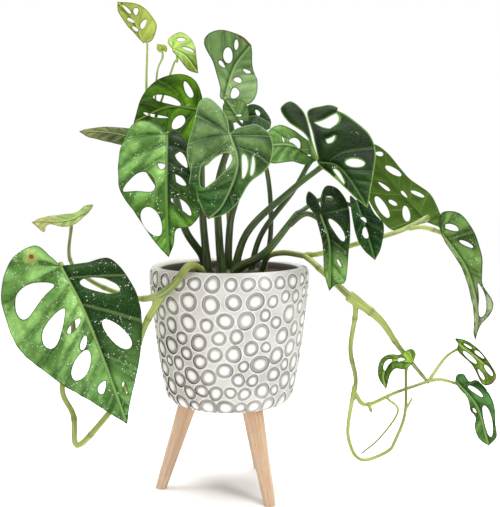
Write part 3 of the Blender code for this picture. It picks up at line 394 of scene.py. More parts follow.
CARRIES = {  # stem: the blade it carries and the place on it, along and across
    "petiole_a": ("blade_drooping", 0.0, 0.0),
    "petiole_a2": ("blade_far_left", 2.0, 0.0),
    "petiole_b": ("blade_back_round", 2.0, 0.0),
    "petiole_b2": ("blade_top_young", 2.0, 0.0),
    "petiole_b3": ("blade_top_bud", 1.0, 0.0),
    "petiole_b4": ("blade_top_hood", 9.0, -2.0),
    "petiole_c": ("blade_centre", 1.0, 0.0),
    "petiole_d": ("blade_top_tall", 4.0, 0.0),
    "petiole_e": ("blade_big_right", 0.5, 0.0),
    "petiole_h1": ("blade_beside_pot", 1.0, 0.0),
    "petiole_h2": ("blade_wrinkled", 2.0, 0.0),
    "petiole_f": ("blade_mid_right", 2.0, 0.0),
    "petiole_g": ("blade_inner_curled", 2.0, 0.0),
    "petiole_g2": ("blade_inner_pale", 2.0, 0.0),
    "runner_up": ("blade_far_right", 2.0, 0.0),
    "petiole_far": ("blade_hanging", 3.0, 0.0),
    "petiole_lacy": ("blade_lacy", 2.0, 0.0),
    "petiole_low": ("blade_low_long", 2.0, 0.0),
    "trail_down": ("blade_low_curled", 2.0, 0.0),
    "runner_back": ("blade_side_small", 31.0, 2.0),
    "runner_loop": ("blade_front_left", 1.0, 0.0),
}

STOCKS = {  # shoot: x, y, radius, top height of the short stock its petioles grow from
    "shoot_left": (-22.0, 0.0, 10.0, 214.0),
    "shoot_mid": (1.0, -12.0, 14.0, 213.0),
    "shoot_right": (23.0, 5.0, 9.5, 213.0),
}

# What a leaf's own colour is multiplied by where it is shaded dark and where it is lit up
LEAF_DARK = (0.20, 0.30, 0.16)
LEAF_LIGHT = (1.42, 1.34, 1.36)

# Leaf colours as shown on a screen, 0 to 255: the half left of the midrib, the half right of
# it, the tip, the veins, the edge line and the underside; then how much dew lies on it, its
# beads given a painted white glint. Where the halves or the tip differ much in brightness,
# that is painted light and painted shade.
GREEN_UNDER = (112, 142, 84)
LEAF_LOOKS = {
    # Painted light and shade: a brightly lit left half and a right half painted in deep shade.
    "blade_front_left": ((138, 186, 102), (22, 56, 16), (114, 162, 86), (156, 198, 112),
                         (50, 72, 30), GREEN_UNDER, 1.0),
    "blade_side_small": ((138, 170, 90), (140, 170, 90), (160, 156, 100), (176, 196, 114),
                         (150, 140, 80), (160, 180, 106), 0.0),
    "blade_top_young": ((186, 206, 96), (192, 212, 98), (178, 192, 86), (218, 228, 136),
                        (110, 112, 50), (200, 220, 96), 0.0),
    "blade_top_bud": ((160, 186, 66), (160, 186, 66), (156, 166, 70), (206, 220, 112),
                      (120, 110, 50), (186, 206, 88), 0.0),
    "blade_top_hood": ((122, 156, 54), (138, 170, 64), (104, 128, 48), (180, 204, 96),
                       (80, 80, 36), (176, 204, 84), 0.0),
    # Partly its own green and partly painted light: the bright yellow-green stands for light shining
    # through it from behind.
    "blade_back_round": ((96, 144, 26), (84, 130, 26), (56, 92, 22), (136, 174, 66),
                         (34, 54, 16), (104, 138, 54), 0.1),
    # Painted light and shade: a lit left half and a right half painted in deep shade.
    "blade_drooping": ((114, 158, 80), (22, 42, 16), (104, 156, 58), (110, 152, 74),
                       (50, 74, 32), (96, 132, 70), 0.8),
    "blade_centre": ((96, 126, 72), (70, 102, 48), (50, 96, 40), (152, 182, 118),
                     (132, 164, 104), (100, 134, 76), 0.6),
    "blade_top_tall": ((128, 158, 102), (118, 150, 92), (110, 144, 84), (168, 196, 128),
                       (50, 76, 36), (120, 150, 84), 0.2),
    "blade_inner_pale": ((118, 156, 90), (118, 156, 90), (106, 146, 78), (166, 192, 124),
                         (70, 104, 50), (118, 148, 86), 0.2),
    "blade_inner_curled": ((22, 50, 12), (28, 60, 16), (34, 70, 20), (84, 122, 56),
                           (40, 62, 26), (58, 92, 36), 0.0),
    "blade_mid_right": ((110, 152, 72), (84, 128, 52), (98, 140, 66), (166, 192, 116),
                        (70, 100, 50), (110, 142, 78), 0.6),
    "blade_big_right": ((14, 34, 5), (18, 42, 7), (34, 70, 18), (80, 122, 44),
                        (112, 150, 66), (84, 118, 54), 0.1),
    "blade_far_right": ((62, 92, 22), (52, 80, 18), (64, 92, 30), (146, 170, 88),
                        (38, 58, 24), (68, 98, 30), 0.3),
    "blade_hanging": ((136, 172, 90), (104, 140, 70), (178, 194, 152), (172, 198, 124),
                      (40, 62, 28), (112, 140, 80), 0.8),
    "blade_wrinkled": ((34, 78, 26), (18, 50, 14), (48, 98, 36), (112, 156, 92),
                       (64, 96, 50), (86, 120, 66), 0.5),
    # Painted shade on both halves and painted light on the lower tip.
    "blade_beside_pot": ((10, 30, 7), (14, 38, 10), (132, 176, 92), (118, 156, 80),
                         (56, 88, 40), (100, 134, 70), 0.5),
    "blade_far_left": ((84, 100, 46), (66, 82, 36), (100, 100, 50), (144, 152, 86),
                       (66, 70, 38), (104, 118, 66), 0.0),
    "blade_lacy": ((124, 154, 58), (108, 140, 50), (116, 142, 56), (172, 196, 104),
                   (54, 68, 28), (134, 164, 78), 0.1),
    "blade_low_long": ((98, 138, 56), (74, 122, 64), (98, 142, 66), (146, 182, 106),
                       (40, 62, 28), (108, 140, 74), 0.4),
    "blade_low_curled": ((132, 168, 58), (120, 158, 54), (98, 134, 48), (184, 208, 106),
                         (60, 80, 34), (146, 178, 80), 0.1),
}
EVEN_LEAVES = {  # blade: share of the painted light and shade bands that its more even colour shows
    "blade_top_young": 0.3, "blade_top_bud": 0.3, "blade_top_hood": 0.5, "blade_top_tall": 0.45,
    "blade_side_small": 0.5, "blade_inner_pale": 0.6, "blade_mid_right": 0.7,
}
# How many times as deep as usual a leaf's fine relief is
CRINKLED = {"blade_wrinkled": 3.4, "blade_centre": 1.8, "blade_mid_right": 2.2}
BROWN_SPOTS = {  # blade: place along and across of a withered spot, and its radius
    "blade_front_left": (-20.0, -19.0, 3.6),
}


def unit(vectors):
    return vectors / np.linalg.norm(vectors, axis=-1, keepdims=True)


def ramp(values, low, high):
    """0 below low, 1 above high, and 3t^2 - 2t^3 between."""
    t = np.clip((values - low) / (high - low), 0.0, 1.0)
    return t * t * (3 - 2 * t)


def hump(values, width):
    """A bell, e to the power of minus the square of values over width."""
    return np.exp(-((values / width) ** 2))


def in_place(points):
    """Millimetres from the pot's axis, as metres in the frame."""
    return np.asarray(points, dtype=float) * MM + AXIS


def tone(colour):
    """A colour as a screen shows it, 0 to 255, as the light that a shader works in."""
    c = np.array(colour) / 255
    light = np.where(c <= 0.04045, c / 12.92, ((c + 0.055) / 1.055) ** 2.4)
    return (*light, 1.0)


def leaf_tone(colour, share=0.78):
    """A leaf's colour, darker by what the bright studio adds to it."""
    return (*(np.array(tone(colour)[:3]) * share), 1.0)


def smooth_line(points, steps):
    """Catmull-Rom curve through the points: a cubic in t between each two of them."""
    knots = np.array(points, dtype=float)
    ends = (2 * knots[:1] - knots[1:2], 2 * knots[-1:] - knots[-2:-1])
    padded = np.vstack([ends[0], knots, ends[1]])
    before, here, ahead, beyond = (padded[i:len(knots) - 1 + i, None] for i in range(4))
    t = (np.arange(steps) / steps)[None, :, None]
    linear = (ahead - before) * t
    square = (2 * before - 5 * here + 4 * ahead - beyond) * t**2
    cube = (3 * here - before - 3 * ahead + beyond) * t**3
    made = 0.5 * (2 * here + linear + square + cube)
    return np.vstack([made.reshape(-1, knots.shape[1]), knots[-1:]])


def arc_lengths(line):
    """Distance along a line of points, at each of them."""
    return np.concatenate(([0.0], np.cumsum(np.linalg.norm(np.diff(line, axis=0), axis=1))))


def spaced(line, gap):
    """The same line, with its points evenly spread about gap apart."""
    arc = arc_lengths(line)
    at = np.linspace(0, arc[-1], max(2, round(arc[-1] / gap)) + 1)
    return np.column_stack([np.interp(at, arc, column) for column in line.T])


def skin(name, points, faces, attributes, sharp=50):
    """A mesh object from whole arrays: points in millimetres, faces as arrays of corners."""
    corners = np.concatenate([f.ravel() for f in faces]).astype(np.int32)
    sizes = np.concatenate([np.full(len(f), f.shape[1]) for f in faces])
    starts = np.concatenate(([0], np.cumsum(sizes)[:-1])).astype(np.int32)
    mesh = bpy.data.meshes.new(name)
    mesh.vertices.add(len(points))
    mesh.vertices.foreach_set("co", in_place(points).astype(np.float32).ravel())
    mesh.loops.add(len(corners))
    mesh.loops.foreach_set("vertex_index", corners)
    mesh.polygons.add(len(sizes))
    mesh.polygons.foreach_set("loop_start", starts)
    mesh.update(calc_edges=True)
    mesh.polygons.foreach_set("use_smooth", np.ones(len(sizes), dtype=bool))
    mesh.set_sharp_from_angle(angle=math.radians(sharp))
    for label, values in attributes.items():
        values = np.asarray(values, dtype=np.float32)
        if values.ndim == 2:
            made = mesh.attributes.new(label, "FLOAT_VECTOR", "POINT")
            made.data.foreach_set("vector", values.ravel())
        else:
            made = mesh.attributes.new(label, "FLOAT", "POINT")
            made.data.foreach_set("value", values)
    piece = bpy.data.objects.new(name, mesh)
    bpy.context.scene.collection.objects.link(piece)
    return piece


def finish_piece(piece, paint, nodes):
    """Paint the piece and let it stand for the frame's nodes."""
    piece.data.materials.append(paint)
    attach(piece, "root")
    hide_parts(*nodes)
    return piece


class Field:
    """A number that varies over a surface. Sums on it add the shader's Math nodes."""

    def __init__(self, paint, socket):
        self.paint = paint
        self.socket = socket

    def maths(self, operation, *values):
        return self.paint.node("Math", {"operation": operation}, dict(enumerate(values)))

    def __add__(self, other):
        return self.maths("ADD", self, other)

    def __sub__(self, other):
        return self.maths("SUBTRACT", self, other)

    def __rsub__(self, other):
        return self.maths("SUBTRACT", other, self)

    def __mul__(self, other):
        return self.maths("MULTIPLY", self, other)

    def __truediv__(self, other):
        return self.maths("DIVIDE", self, other)

    def __abs__(self):
        return self.maths("ABSOLUTE", self)

    __radd__ = __add__
    __rmul__ = __mul__

    def off_whole(self):
        """Distance from the nearest whole number."""
        return abs(self - self.maths("ROUND", self))

    def past_whole(self):
        """How far past the whole number below it."""
        return self.maths("FRACT", self)

    def between(self, low, high):
        """0 below low, 1 above high and smooth between."""
        settings = {"interpolation_type": "SMOOTHSTEP"}
        return self.paint.node("MapRange", settings, {0: self, 1: low, 2: high})


class Paint:
    """One material as it is built up: fixed values first, then what varies over it."""

    def __init__(self, name, fixed):
        self.material = bpy.data.materials.new(name)
        self.material.use_nodes = True
        self.tree = self.material.node_tree
        self.shader = self.tree.nodes["Principled BSDF"]
        for socket, value in fixed.items():
            self.shader.inputs[socket].default_value = value

    def join(self, value, entry):
        if isinstance(value, Field):
            self.tree.links.new(value.socket, entry)
        else:
            entry.default_value = value

    def node(self, kind, settings, sockets, out=0):
        made = self.tree.nodes.new("ShaderNode" + kind)
        for setting, value in settings.items():
            setattr(made, setting, value)
        for entry, value in sockets.items():
            self.join(value, made.inputs[entry])
        return Field(self, made.outputs[out])

    def mix(self, share, first, second):
        """The first colour where share is 0, the second where it is 1."""
        return self.node("Mix", {"data_type": "RGBA"}, {0: share, 6: first, 7: second}, 2)

    def shade(self, share, colour, times):
        """The colour where share is 0, and the colour times another where it is 1."""
        settings = {"data_type": "RGBA", "blend_type": "MULTIPLY"}
        return self.node("Mix", settings, {0: share, 6: colour, 7: (*times, 1.0)}, 2)

    def place(self):
        return self.node("TexCoord", {}, {}, "Object")

    def attribute(self, name, out="Vector"):
        return self.node("Attribute", {"attribute_name": name}, {}, out)

    def part(self, vector, k):
        return self.node("SeparateXYZ", {}, {0: vector}, k)

    def stretched(self, vector, scale):
        return self.node("VectorMath", {"operation": "MULTIPLY"}, {0: vector, 1: scale})

    def cloud(self, where, scale, detail=3.0):
        """Soft random patches, about one over scale across."""
        sockets = {"Vector": where, "Scale": scale, "Detail": detail}
        return self.node("TexNoise", {}, sockets, "Fac")

    def cells(self, where, scale, feature, out="Distance"):
        return self.node("TexVoronoi", {"feature": feature}, {"Vector": where, "Scale": scale}, out)

    def bump(self, height, distance, under=None):
        sockets = {"Height": height, "Distance": distance}
        if under is not None:
            sockets["Normal"] = under
        return self.node("Bump", {}, sockets)

    def done(self, colour, roughness, normal):
        self.join(colour, self.shader.inputs["Base Color"])
        self.join(roughness, self.shader.inputs["Roughness"])
        self.join(normal, self.shader.inputs["Normal"])
        return self.material


class LeafSheet:
    """The curved sheet of one leaf, on whole arrays of (along, across) places.

    The place along the midrib is read off a smooth curve, and runs on straight past its
    ends. Across it, the sheet leaves at the fold angle and keeps turning by the curl for
    each millimetre, so that its cut is a circle's arc, and a sine ripple that grows with
    the square of the reach is added along its normal.
    """

    def __init__(self, spec):
        self.line = smooth_line(spec["midrib"], MIDRIB_STEPS)
        self.arc = arc_lengths(self.line)
        self.length = self.arc[-1]
        self.face = unit(np.array(spec["face"], dtype=float))
        self.face_tip = unit(np.array(spec["face_tip"], dtype=float))
        self.fold = math.radians(spec["fold"])
        self.curl = spec["curl"] * MM

    def on_midrib(self, along):
        return np.column_stack([np.interp(along, self.arc, column) for column in self.line.T])

    def axes(self, along):
        """Place on the midrib, direction across it and direction of the face."""
        behind = np.clip(along, TANGENT_REACH, self.length) - TANGENT_REACH
        ahead = np.clip(along, 0.0, self.length - TANGENT_REACH) + TANGENT_REACH
        forward = unit(self.on_midrib(ahead) - self.on_midrib(behind))
        past = along - np.clip(along, 0.0, self.length)
        start = self.on_midrib(along) + forward * past[:, None]
        share = np.clip(along / self.length, 0.0, 1.0)[:, None]
        facing = self.face * (1 - share) + self.face_tip * share
        across = unit(np.cross(facing, forward))
        return start, across, np.cross(forward, across)

    def point(self, along, across):
        start, side, up = self.axes(along)
        reach = np.abs(across)
        if self.curl == 0:
            out, lift = reach * math.cos(self.fold), reach * math.sin(self.fold)
        else:
            end = self.fold + self.curl * reach
            out = (np.sin(end) - math.sin(self.fold)) / self.curl
            lift = (math.cos(self.fold) - np.cos(end)) / self.curl
        phase = 2 * math.pi * along / RIPPLE_PITCH + np.where(across > 0, RIPPLE_SHIFT, 0.0)
        lift = lift + RIPPLE_HEIGHT * np.minimum(reach / RIPPLE_REACH, 1.0) ** 2 * np.sin(phase)
        return start + np.copysign(out, across)[:, None] * side + lift[:, None] * up

    def normal(self, along, across):
        step = NORMAL_STEP
        lengthwise = self.point(along + step, across) - self.point(along - step, across)
        sideways = self.point(along, across + step) - self.point(along, across - step)
        return unit(np.cross(lengthwise, sideways))


def leaf_edge(spec):
    """The flat outline: smooth curves from notch to tip by the left and back by the right."""
    notch, tip = spec.get("notch", (0, 0)), spec["tip"]
    left = spaced(smooth_line([notch] + spec["left"] + [tip], 12), EDGE_GAP)
    right = spaced(smooth_line([notch] + spec["right"] + [tip], 12), EDGE_GAP)
    return np.vstack([left[:-1], right[:0:-1]])


def leaf_window(window):
    """A window's edge: an ellipse whose half width changes along it, on a bowed axis."""
    start, end = np.array(window[0:2], float), np.array(window[2:4], float)
    inner, outer, bow = window[4:7]
    axis = end - start
    across = np.array((-axis[1], axis[0])) / np.linalg.norm(axis)
    turn = np.linspace(0, 2 * math.pi, 73)
    t = (1 - np.cos(turn)) / 2
    half = np.sin(turn) * (inner + (outer - inner) * t)
    loop = start + axis * t[:, None] + across * (half + bow * 4 * t * (1 - t))[:, None]
    return spaced(loop, EDGE_GAP)[:-1]


def to_edges(places, starts, ends):
    """For each place, its distance from the nearest edge and whether it is on the leaf."""
    gaps, inside = [], []
    spans = ends - starts
    squares = (spans**2).sum(1)
    for some in np.array_split(places, max(1, len(places) // 1500)):
        offset = some[:, None, :] - starts
        t = np.clip((offset * spans).sum(2) / squares, 0, 1)
        gaps.append(np.linalg.norm(offset - spans * t[:, :, None], axis=2).min(axis=1))
        level = some[:, 1, None]
        spans_level = (starts[:, 1] > level) != (ends[:, 1] > level)
        rise = np.where(spans[:, 1] == 0, 1.0, spans[:, 1])
        crossing = starts[:, 0] + (level - starts[:, 1]) / rise * spans[:, 0]
        inside.append((spans_level & (some[:, 0, None] < crossing)).sum(axis=1) % 2 == 1)
    return np.concatenate(gaps), np.concatenate(inside)


def leaf_net(spec):
    """Flat places and triangles of a leaf with its windows open, and the edge distance."""
    rings = [leaf_edge(spec)] + [leaf_window(w) for w in spec["windows"]]
    starts = np.vstack(rings)
    ends = np.vstack([np.roll(ring, -1, axis=0) for ring in rings])
    low, high = rings[0].min(axis=0), rings[0].max(axis=0)
    height = NET_GAP * 0.866
    level = np.arange(math.floor(low[1] / height), math.ceil(high[1] / height) + 1)
    column = np.arange(math.floor(low[0] / NET_GAP), math.ceil(high[0] / NET_GAP) + 1)
    grid = np.stack(np.meshgrid(column, level, indexing="ij"), axis=-1).reshape(-1, 2)
    grid = np.column_stack([(grid[:, 0] + 0.5 * (grid[:, 1] % 2)) * NET_GAP,
                            grid[:, 1] * height])
    gap, inside = to_edges(grid, starts, ends)
    grid = grid[inside & (gap > 0.6 * NET_GAP)]
    count = np.cumsum([0] + [len(ring) for ring in rings])
    loops = [np.column_stack([np.arange(a, b), np.roll(np.arange(a, b), -1)])
             for a, b in zip(count[:-1], count[1:])]
    places = [Vector(p) for p in np.vstack([starts, grid])]
    made = geometry.delaunay_2d_cdt(places, np.vstack(loops).tolist(), [], 0, 1e-5, False)
    flat = np.array([tuple(v) for v in made[0]])
    triangles = np.array(made[2])
    corner = flat[triangles]
    _, kept = to_edges(corner.mean(axis=1), starts, ends)
    first, second = corner[:, 1] - corner[:, 0], corner[:, 2] - corner[:, 0]
    area = first[:, 0] * second[:, 1] - first[:, 1] * second[:, 0]
    triangles = np.where(area[:, None] < 0, triangles[:, ::-1], triangles)
    triangles = triangles[kept & (np.abs(area) > 1e-4)]
    used, triangles = np.unique(triangles, return_inverse=True)
    triangles = triangles.reshape(-1, 3)
    flat = flat[used]
    gap, _ = to_edges(flat, starts, ends)
    return flat, triangles, gap


def vein_lean(start, length):
    """Angle of a side vein with the midrib: wide at the leaf's base, sharp at its tip."""
    return VEIN_TIP_LEAN + (VEIN_BASE_LEAN - VEIN_TIP_LEAN) * np.exp(-4 * start / length)


def vein_start(along, across, length):
    """Where on the midrib the side vein through a place starts, found by halving.

    Behind the stalk's end the veins fan out from it, and the value is minus the angle that
    the fan has opened, so that it goes on evenly.
    """
    reach = np.abs(across)
    low, high = np.zeros_like(along), np.full_like(along, length)
    for _ in range(22):
        middle = (low + high) / 2
        past = middle + reach / np.tan(vein_lean(middle, length)) > along
        high = np.where(past, middle, high)
        low = np.where(past, low, middle)
    fan = np.arctan2(reach, along) - vein_lean(0.0, length)
    return np.where(fan > 0, -fan * LOBE_SPREAD, (low + high) / 2)


def vein_count(spec, along, across, length):
    """Whole numbers on the side veins, evenly between: they pass between the windows."""
    start = vein_start(along, across, length)
    made = np.zeros_like(along)
    for side in (-1, 1):
        middles = [((w[0] + w[2]) / 2, (w[1] + w[3]) / 2) for w in spec["windows"]
                   if ((w[1] + w[3]) * side > 0)]
        if middles:
            at = np.array(middles, dtype=float)
            holes = np.sort(vein_start(at[:, 0], at[:, 1], length))
            stops = (holes[1:] + holes[:-1])[np.diff(holes) > VEIN_PITCH * 0.45] / 2
            pitch = min(VEIN_PITCH, length / 6)
            before = np.arange(holes[0] - 0.6 * pitch, -60, -pitch)[::-1]
            after = np.arange(holes[-1] + 0.6 * pitch, length + 60, pitch)
            stops = np.concatenate([before, stops, after])
        else:
            pitch = min(VEIN_PITCH, length / 6)
            stops = np.arange(-60 + 0.25 * side * pitch, length + 60, pitch)
        on_side = across * side > 0
        made = np.where(on_side, np.interp(start, stops, np.arange(len(stops))), made)
    return made


def build_leaf(node, spec, paint):
    """A leaf of even thickness: quilted between its veins, midrib sunk above, raised below.

    The upper face is the sheet moved out by half the thickness and the quilting, which is
    the squared sine of the side veins' count, faded at the midrib and the edge. The lower
    face is moved in by half the thickness and by the midrib's bell-shaped ridge.
    """
    sheet = LeafSheet(spec)
    flat, triangles, gap = leaf_net(spec)
    along, across = flat.T
    veins = vein_count(spec, along, across, sheet.length)
    size = min(1.0, sheet.length / 110)
    quilt = 2.3 * size * np.sin(math.pi * veins) ** 2
    quilt *= (1 - hump(across, 5.0)) * ramp(gap, 0.0, 6.0)
    cockle = 0.35 * size * np.sin(along / 3.1 + np.sin(across / 5.0) * 2) * hump(gap, 5.0)
    on_rib = ramp(along, -2.0, 3.0) * (1 - ramp(along, sheet.length * 0.9, sheet.length))
    rib = on_rib * (1 - 0.7 * np.clip(along / sheet.length, 0, 1))
    groove = 0.55 * rib * hump(across, 1.5)
    ridge = (0.5 + 0.8 * size) * rib * hump(across, 1.3)
    place, normal = sheet.point(along, across), sheet.normal(along, across)
    half = SHEET_THICKNESS / 2
    upper = place + normal * (half + quilt + cockle - groove)[:, None]
    lower = place + normal * (quilt + cockle - half - ridge - groove * 0.3)[:, None]
    count = len(flat)
    edges = np.vstack([triangles[:, [0, 1]], triangles[:, [1, 2]], triangles[:, [2, 0]]])
    forth = edges[:, 0] * count + edges[:, 1]
    back = edges[:, 1] * count + edges[:, 0]
    a, b = edges[~np.isin(forth, back)].T
    walls = np.column_stack([a, a + count, b + count, b])
    leaf = np.column_stack([flat, veins])
    attributes = {
        "leaf": np.vstack([leaf, leaf]),
        "rim": np.concatenate([gap, gap]),
        "upper": np.repeat([1.0, 0.0], count),
    }
    faces = [triangles, triangles[:, ::-1] + count, walls]
    piece = skin(node.replace("blade", "leaf"), np.vstack([upper, lower]), faces, attributes)
    return finish_piece(piece, paint, [node])


def leaf_paint(node, spec, look):
    """Waxy leaf: two greens, painted shade in the creases along pale veins, painted sheen and light
    between them, an edge line, dew with a painted glint.
    """
    left, right, tip, vein, edge, under = (leaf_tone(c) for c in look[:6])
    dew = look[6]
    paint = Paint(node.replace("blade", "leaf") + "_green", {"Specular IOR Level": 0.07})
    leaf = paint.attribute("leaf")
    along, across, veins = (paint.part(leaf, k) for k in range(3))
    rim = paint.attribute("rim", "Fac")
    upper = paint.attribute("upper", "Fac")
    flat = paint.stretched(leaf, (1.0, 1.0, 0.0))
    side_vein = 1 - veins.off_whole().between(0.012, 0.06)
    # Mask of painted shade in the creases along the side veins.
    crease_shade = 1 - veins.off_whole().between(0.02, 0.26)
    turn = veins.past_whole()
    # Mask of painted sheen on one side of each quilted hump.
    quilt_sheen = turn.between(0.35, 0.62) * (1 - turn.between(0.68, 0.94))
    midrib = (1 - abs(across).between(0.35, 1.2)) * along.between(-2.0, 2.0)
    rib_shade = across.between(0.6, 1.4) * (1 - across.between(1.8, 4.5)) * along.between(-2.0, 6.0)
    # Bands of painted light and painted shade that follow the side veins.
    light_and_shade_bands = paint.cloud(paint.stretched(leaf, (0.010, 0.035, 1.15)), 1.0, 1.5)
    # Fine noise: a mask for painted light and sheen, and for the leaf's roughness and relief.
    mottle_and_sheen = paint.cloud(flat, 0.22, 5.0)
    net = 1 - paint.cells(flat, 0.42, "DISTANCE_TO_EDGE").between(0.0, 0.09)
    # The halves' and the tip's greens; where they differ much in brightness, that is painted light and
    # painted shade.
    colour = paint.mix(across.between(-3.0, 3.0), left, right)
    colour = paint.mix((along / spec["tip"][0]).between(0.36, 0.84), colour, tip)
    # How much of the painted light and shade this leaf shows.
    painted_light_share = EVEN_LEAVES.get(node, 1.0)
    # Painted shade, then painted light, in those bands.
    colour = paint.shade(light_and_shade_bands.between(0.44, 0.60) * 0.85 * painted_light_share, colour, LEAF_DARK)
    colour = paint.shade((1 - light_and_shade_bands.between(0.24, 0.42)) * painted_light_share, colour, LEAF_LIGHT)
    # Painted shade in the creases along the side veins.
    colour = paint.shade(crease_shade * mottle_and_sheen.between(0.3, 0.6) * 0.85 * painted_light_share, colour, LEAF_DARK)
    # Painted sheen on the quilted humps.
    colour = paint.shade(quilt_sheen * mottle_and_sheen.between(0.36, 0.6) * 0.8 * painted_light_share, colour, LEAF_LIGHT)
    # Painted light in scattered spots.
    colour = paint.shade(mottle_and_sheen.between(0.54, 0.7) * 0.6 * painted_light_share, colour, LEAF_LIGHT)
    # More painted sheen, paler towards the vein colour.
    colour = paint.mix(quilt_sheen * light_and_shade_bands.between(0.5, 0.7) * 0.16, colour, vein)
    colour = paint.mix(net * 0.10, colour, vein)
    colour = paint.mix(side_vein * 0.22, colour, vein)
    colour = paint.shade(rib_shade * 0.8, colour, LEAF_DARK)
    colour = paint.mix(midrib * 0.7, colour, vein)
    colour = paint.mix((1 - rim.between(0.35, 1.3)) * 0.8, colour, edge)
    withered = (along / spec["tip"][0]).between(0.965, 0.99)
    colour = paint.mix(withered * 0.8, colour, tone((92, 70, 40)))
    if node in BROWN_SPOTS:
        spot_along, spot_across, radius = BROWN_SPOTS[node]
        away = paint.node("VectorMath", {"operation": "DISTANCE"},
                          {0: flat, 1: (spot_along, spot_across, 0.0)}, "Value")
        frayed = away / radius + (mottle_and_sheen - 0.5) * 1.2
        colour = paint.mix((1 - frayed.between(0.9, 2.6)) * 0.5, colour, tone((176, 176, 96)))
        colour = paint.mix(1 - frayed.between(0.35, 0.8), colour, tone((118, 74, 40)))
    below = paint.mix(side_vein * 0.25 + net * 0.12, under, vein)
    colour = paint.mix(upper, below, colour)
    rough = 0.36 + mottle_and_sheen * 0.16 + (1 - upper) * 0.2
    relief = (upper * 2 - 1) * (side_vein * -0.5 + net * -0.12) + mottle_and_sheen * 0.35
    height = relief
    if dew > 0:
        beads = 1 - paint.cells(flat, 0.40, "F1").between(0.18, 0.26)
        specks = 1 - paint.cells(flat, 0.75, "F1").between(0.14, 0.24)
        sprinkled = paint.cloud(flat, 0.09, 2.0).between(0.62 - 0.16 * dew, 0.74 - 0.12 * dew)
        dew_and_glint = (beads + specks * 0.35) * sprinkled * upper
        # Painted highlight: the dew beads are painted near white for their glint; their smoothness and
        # relief are their own.
        colour = paint.mix(dew_and_glint * 0.8, colour, tone((226, 240, 218)))
        rough = rough - dew_and_glint * 0.2
        height = relief + dew_and_glint * 0.9
    return paint.done(colour, rough, paint.bump(height, 0.0007 * CRINKLED.get(node, 1.0)))


def carried_path(stem, path, radius):
    """The stem's path, ending squarely at the underside of the leaf that it carries."""
    if stem not in CARRIES:
        return path
    node, along, across = CARRIES[stem]
    sheet = LeafSheet(BLADES[node])
    at = np.array([along]), np.array([across])
    foot, below = sheet.point(*at)[0], -sheet.normal(*at)[0]
    touch = SHEET_THICKNESS / 2 + 0.5 * radius
    return list(path[:-1]) + [foot + below * STALK_APPROACH, foot + below * touch]


def tube_skin(path, radii, swellings, sides=STEM_SIDES, gap=STEM_GAP):
    """A round stem: circles carried along a smooth path, with a low dome on each end.

    The radius changes evenly from end to end, times one bell for each swelling (place along
    the stem, share added, half width). Each circle is turned as little as can be from the
    one before. Returns points, faces and where each point is on the stem.
    """
    line = spaced(smooth_line(path, 10), gap)
    arc = arc_lengths(line)
    radius = radii[0] + (radii[1] - radii[0]) * arc / arc[-1]
    for at, share, width in swellings:
        radius = radius * (1 + share * hump(arc - at, width))
    forward = unit(np.gradient(line, axis=0))
    domes = np.radians([62.0, 32.0])
    first, last = radius[0] * 0.5, radius[-1] * 0.5
    line = np.vstack([line[0] - forward[0] * first * np.sin(domes)[:, None], line,
                      line[-1] + forward[-1] * last * np.sin(domes[::-1])[:, None]])
    radius = np.concatenate([radius[0] * np.cos(domes), radius, radius[-1] * np.cos(domes[::-1])])
    arc = np.concatenate([np.full(2, arc[0]), arc, np.full(2, arc[-1])])
    forward = np.vstack([forward[:1], forward[:1], forward, forward[-1:], forward[-1:]])
    side = [unit(np.cross(forward[0], (0.31, 0.87, 0.39)))]
    for ahead in forward[1:]:
        side.append(unit(side[-1] - ahead * np.dot(side[-1], ahead)))
    side = np.array(side)
    other = np.cross(forward, side)
    turn = 2 * math.pi * np.arange(sides) / sides
    reach = radius[:, None, None]
    circle = np.cos(turn)[:, None] * side[:, None] + np.sin(turn)[:, None] * other[:, None]
    points = (line[:, None] + reach * circle).reshape(-1, 3)
    poles = np.vstack([line[0] - forward[0] * first * 0.12, line[-1] + forward[-1] * last * 0.12])
    local = np.stack([np.outer(radius, np.cos(turn)), np.outer(radius, np.sin(turn)),
                      np.repeat(arc[:, None], sides, axis=1)], axis=-1).reshape(-1, 3)
    local = np.vstack([local, (0, 0, arc[0]), (0, 0, arc[-1])])
    return np.vstack([points, poles]), grid_faces(len(line), sides), local


def grid_faces(rows, turns):
    """Quads that join rows of points round an axis, and a fan to the pole at each end."""
    row = np.arange(rows - 1)[:, None] * turns
    k = np.arange(turns)[None, :]
    after = (k + 1) % turns
    quads = np.stack([row + k, row + after, row + turns + after, row + turns + k], axis=-1)
    k, after = k[0], after[0]
    end = (rows - 1) * turns
    first = np.column_stack([np.full(turns, rows * turns), after, k])
    last = np.column_stack([np.full(turns, rows * turns + 1), end + k, end + after])
    return [quads.reshape(-1, 4), first, last]


def joined(skins):
    """Several skins as one: points, faces, places."""
    points, local = np.vstack([s[0] for s in skins]), np.vstack([s[2] for s in skins])
    first = np.cumsum([0] + [len(s[0]) for s in skins])
    faces = [f + start for (_, group, _), start in zip(skins, first) for f in group]
    return points, faces, local


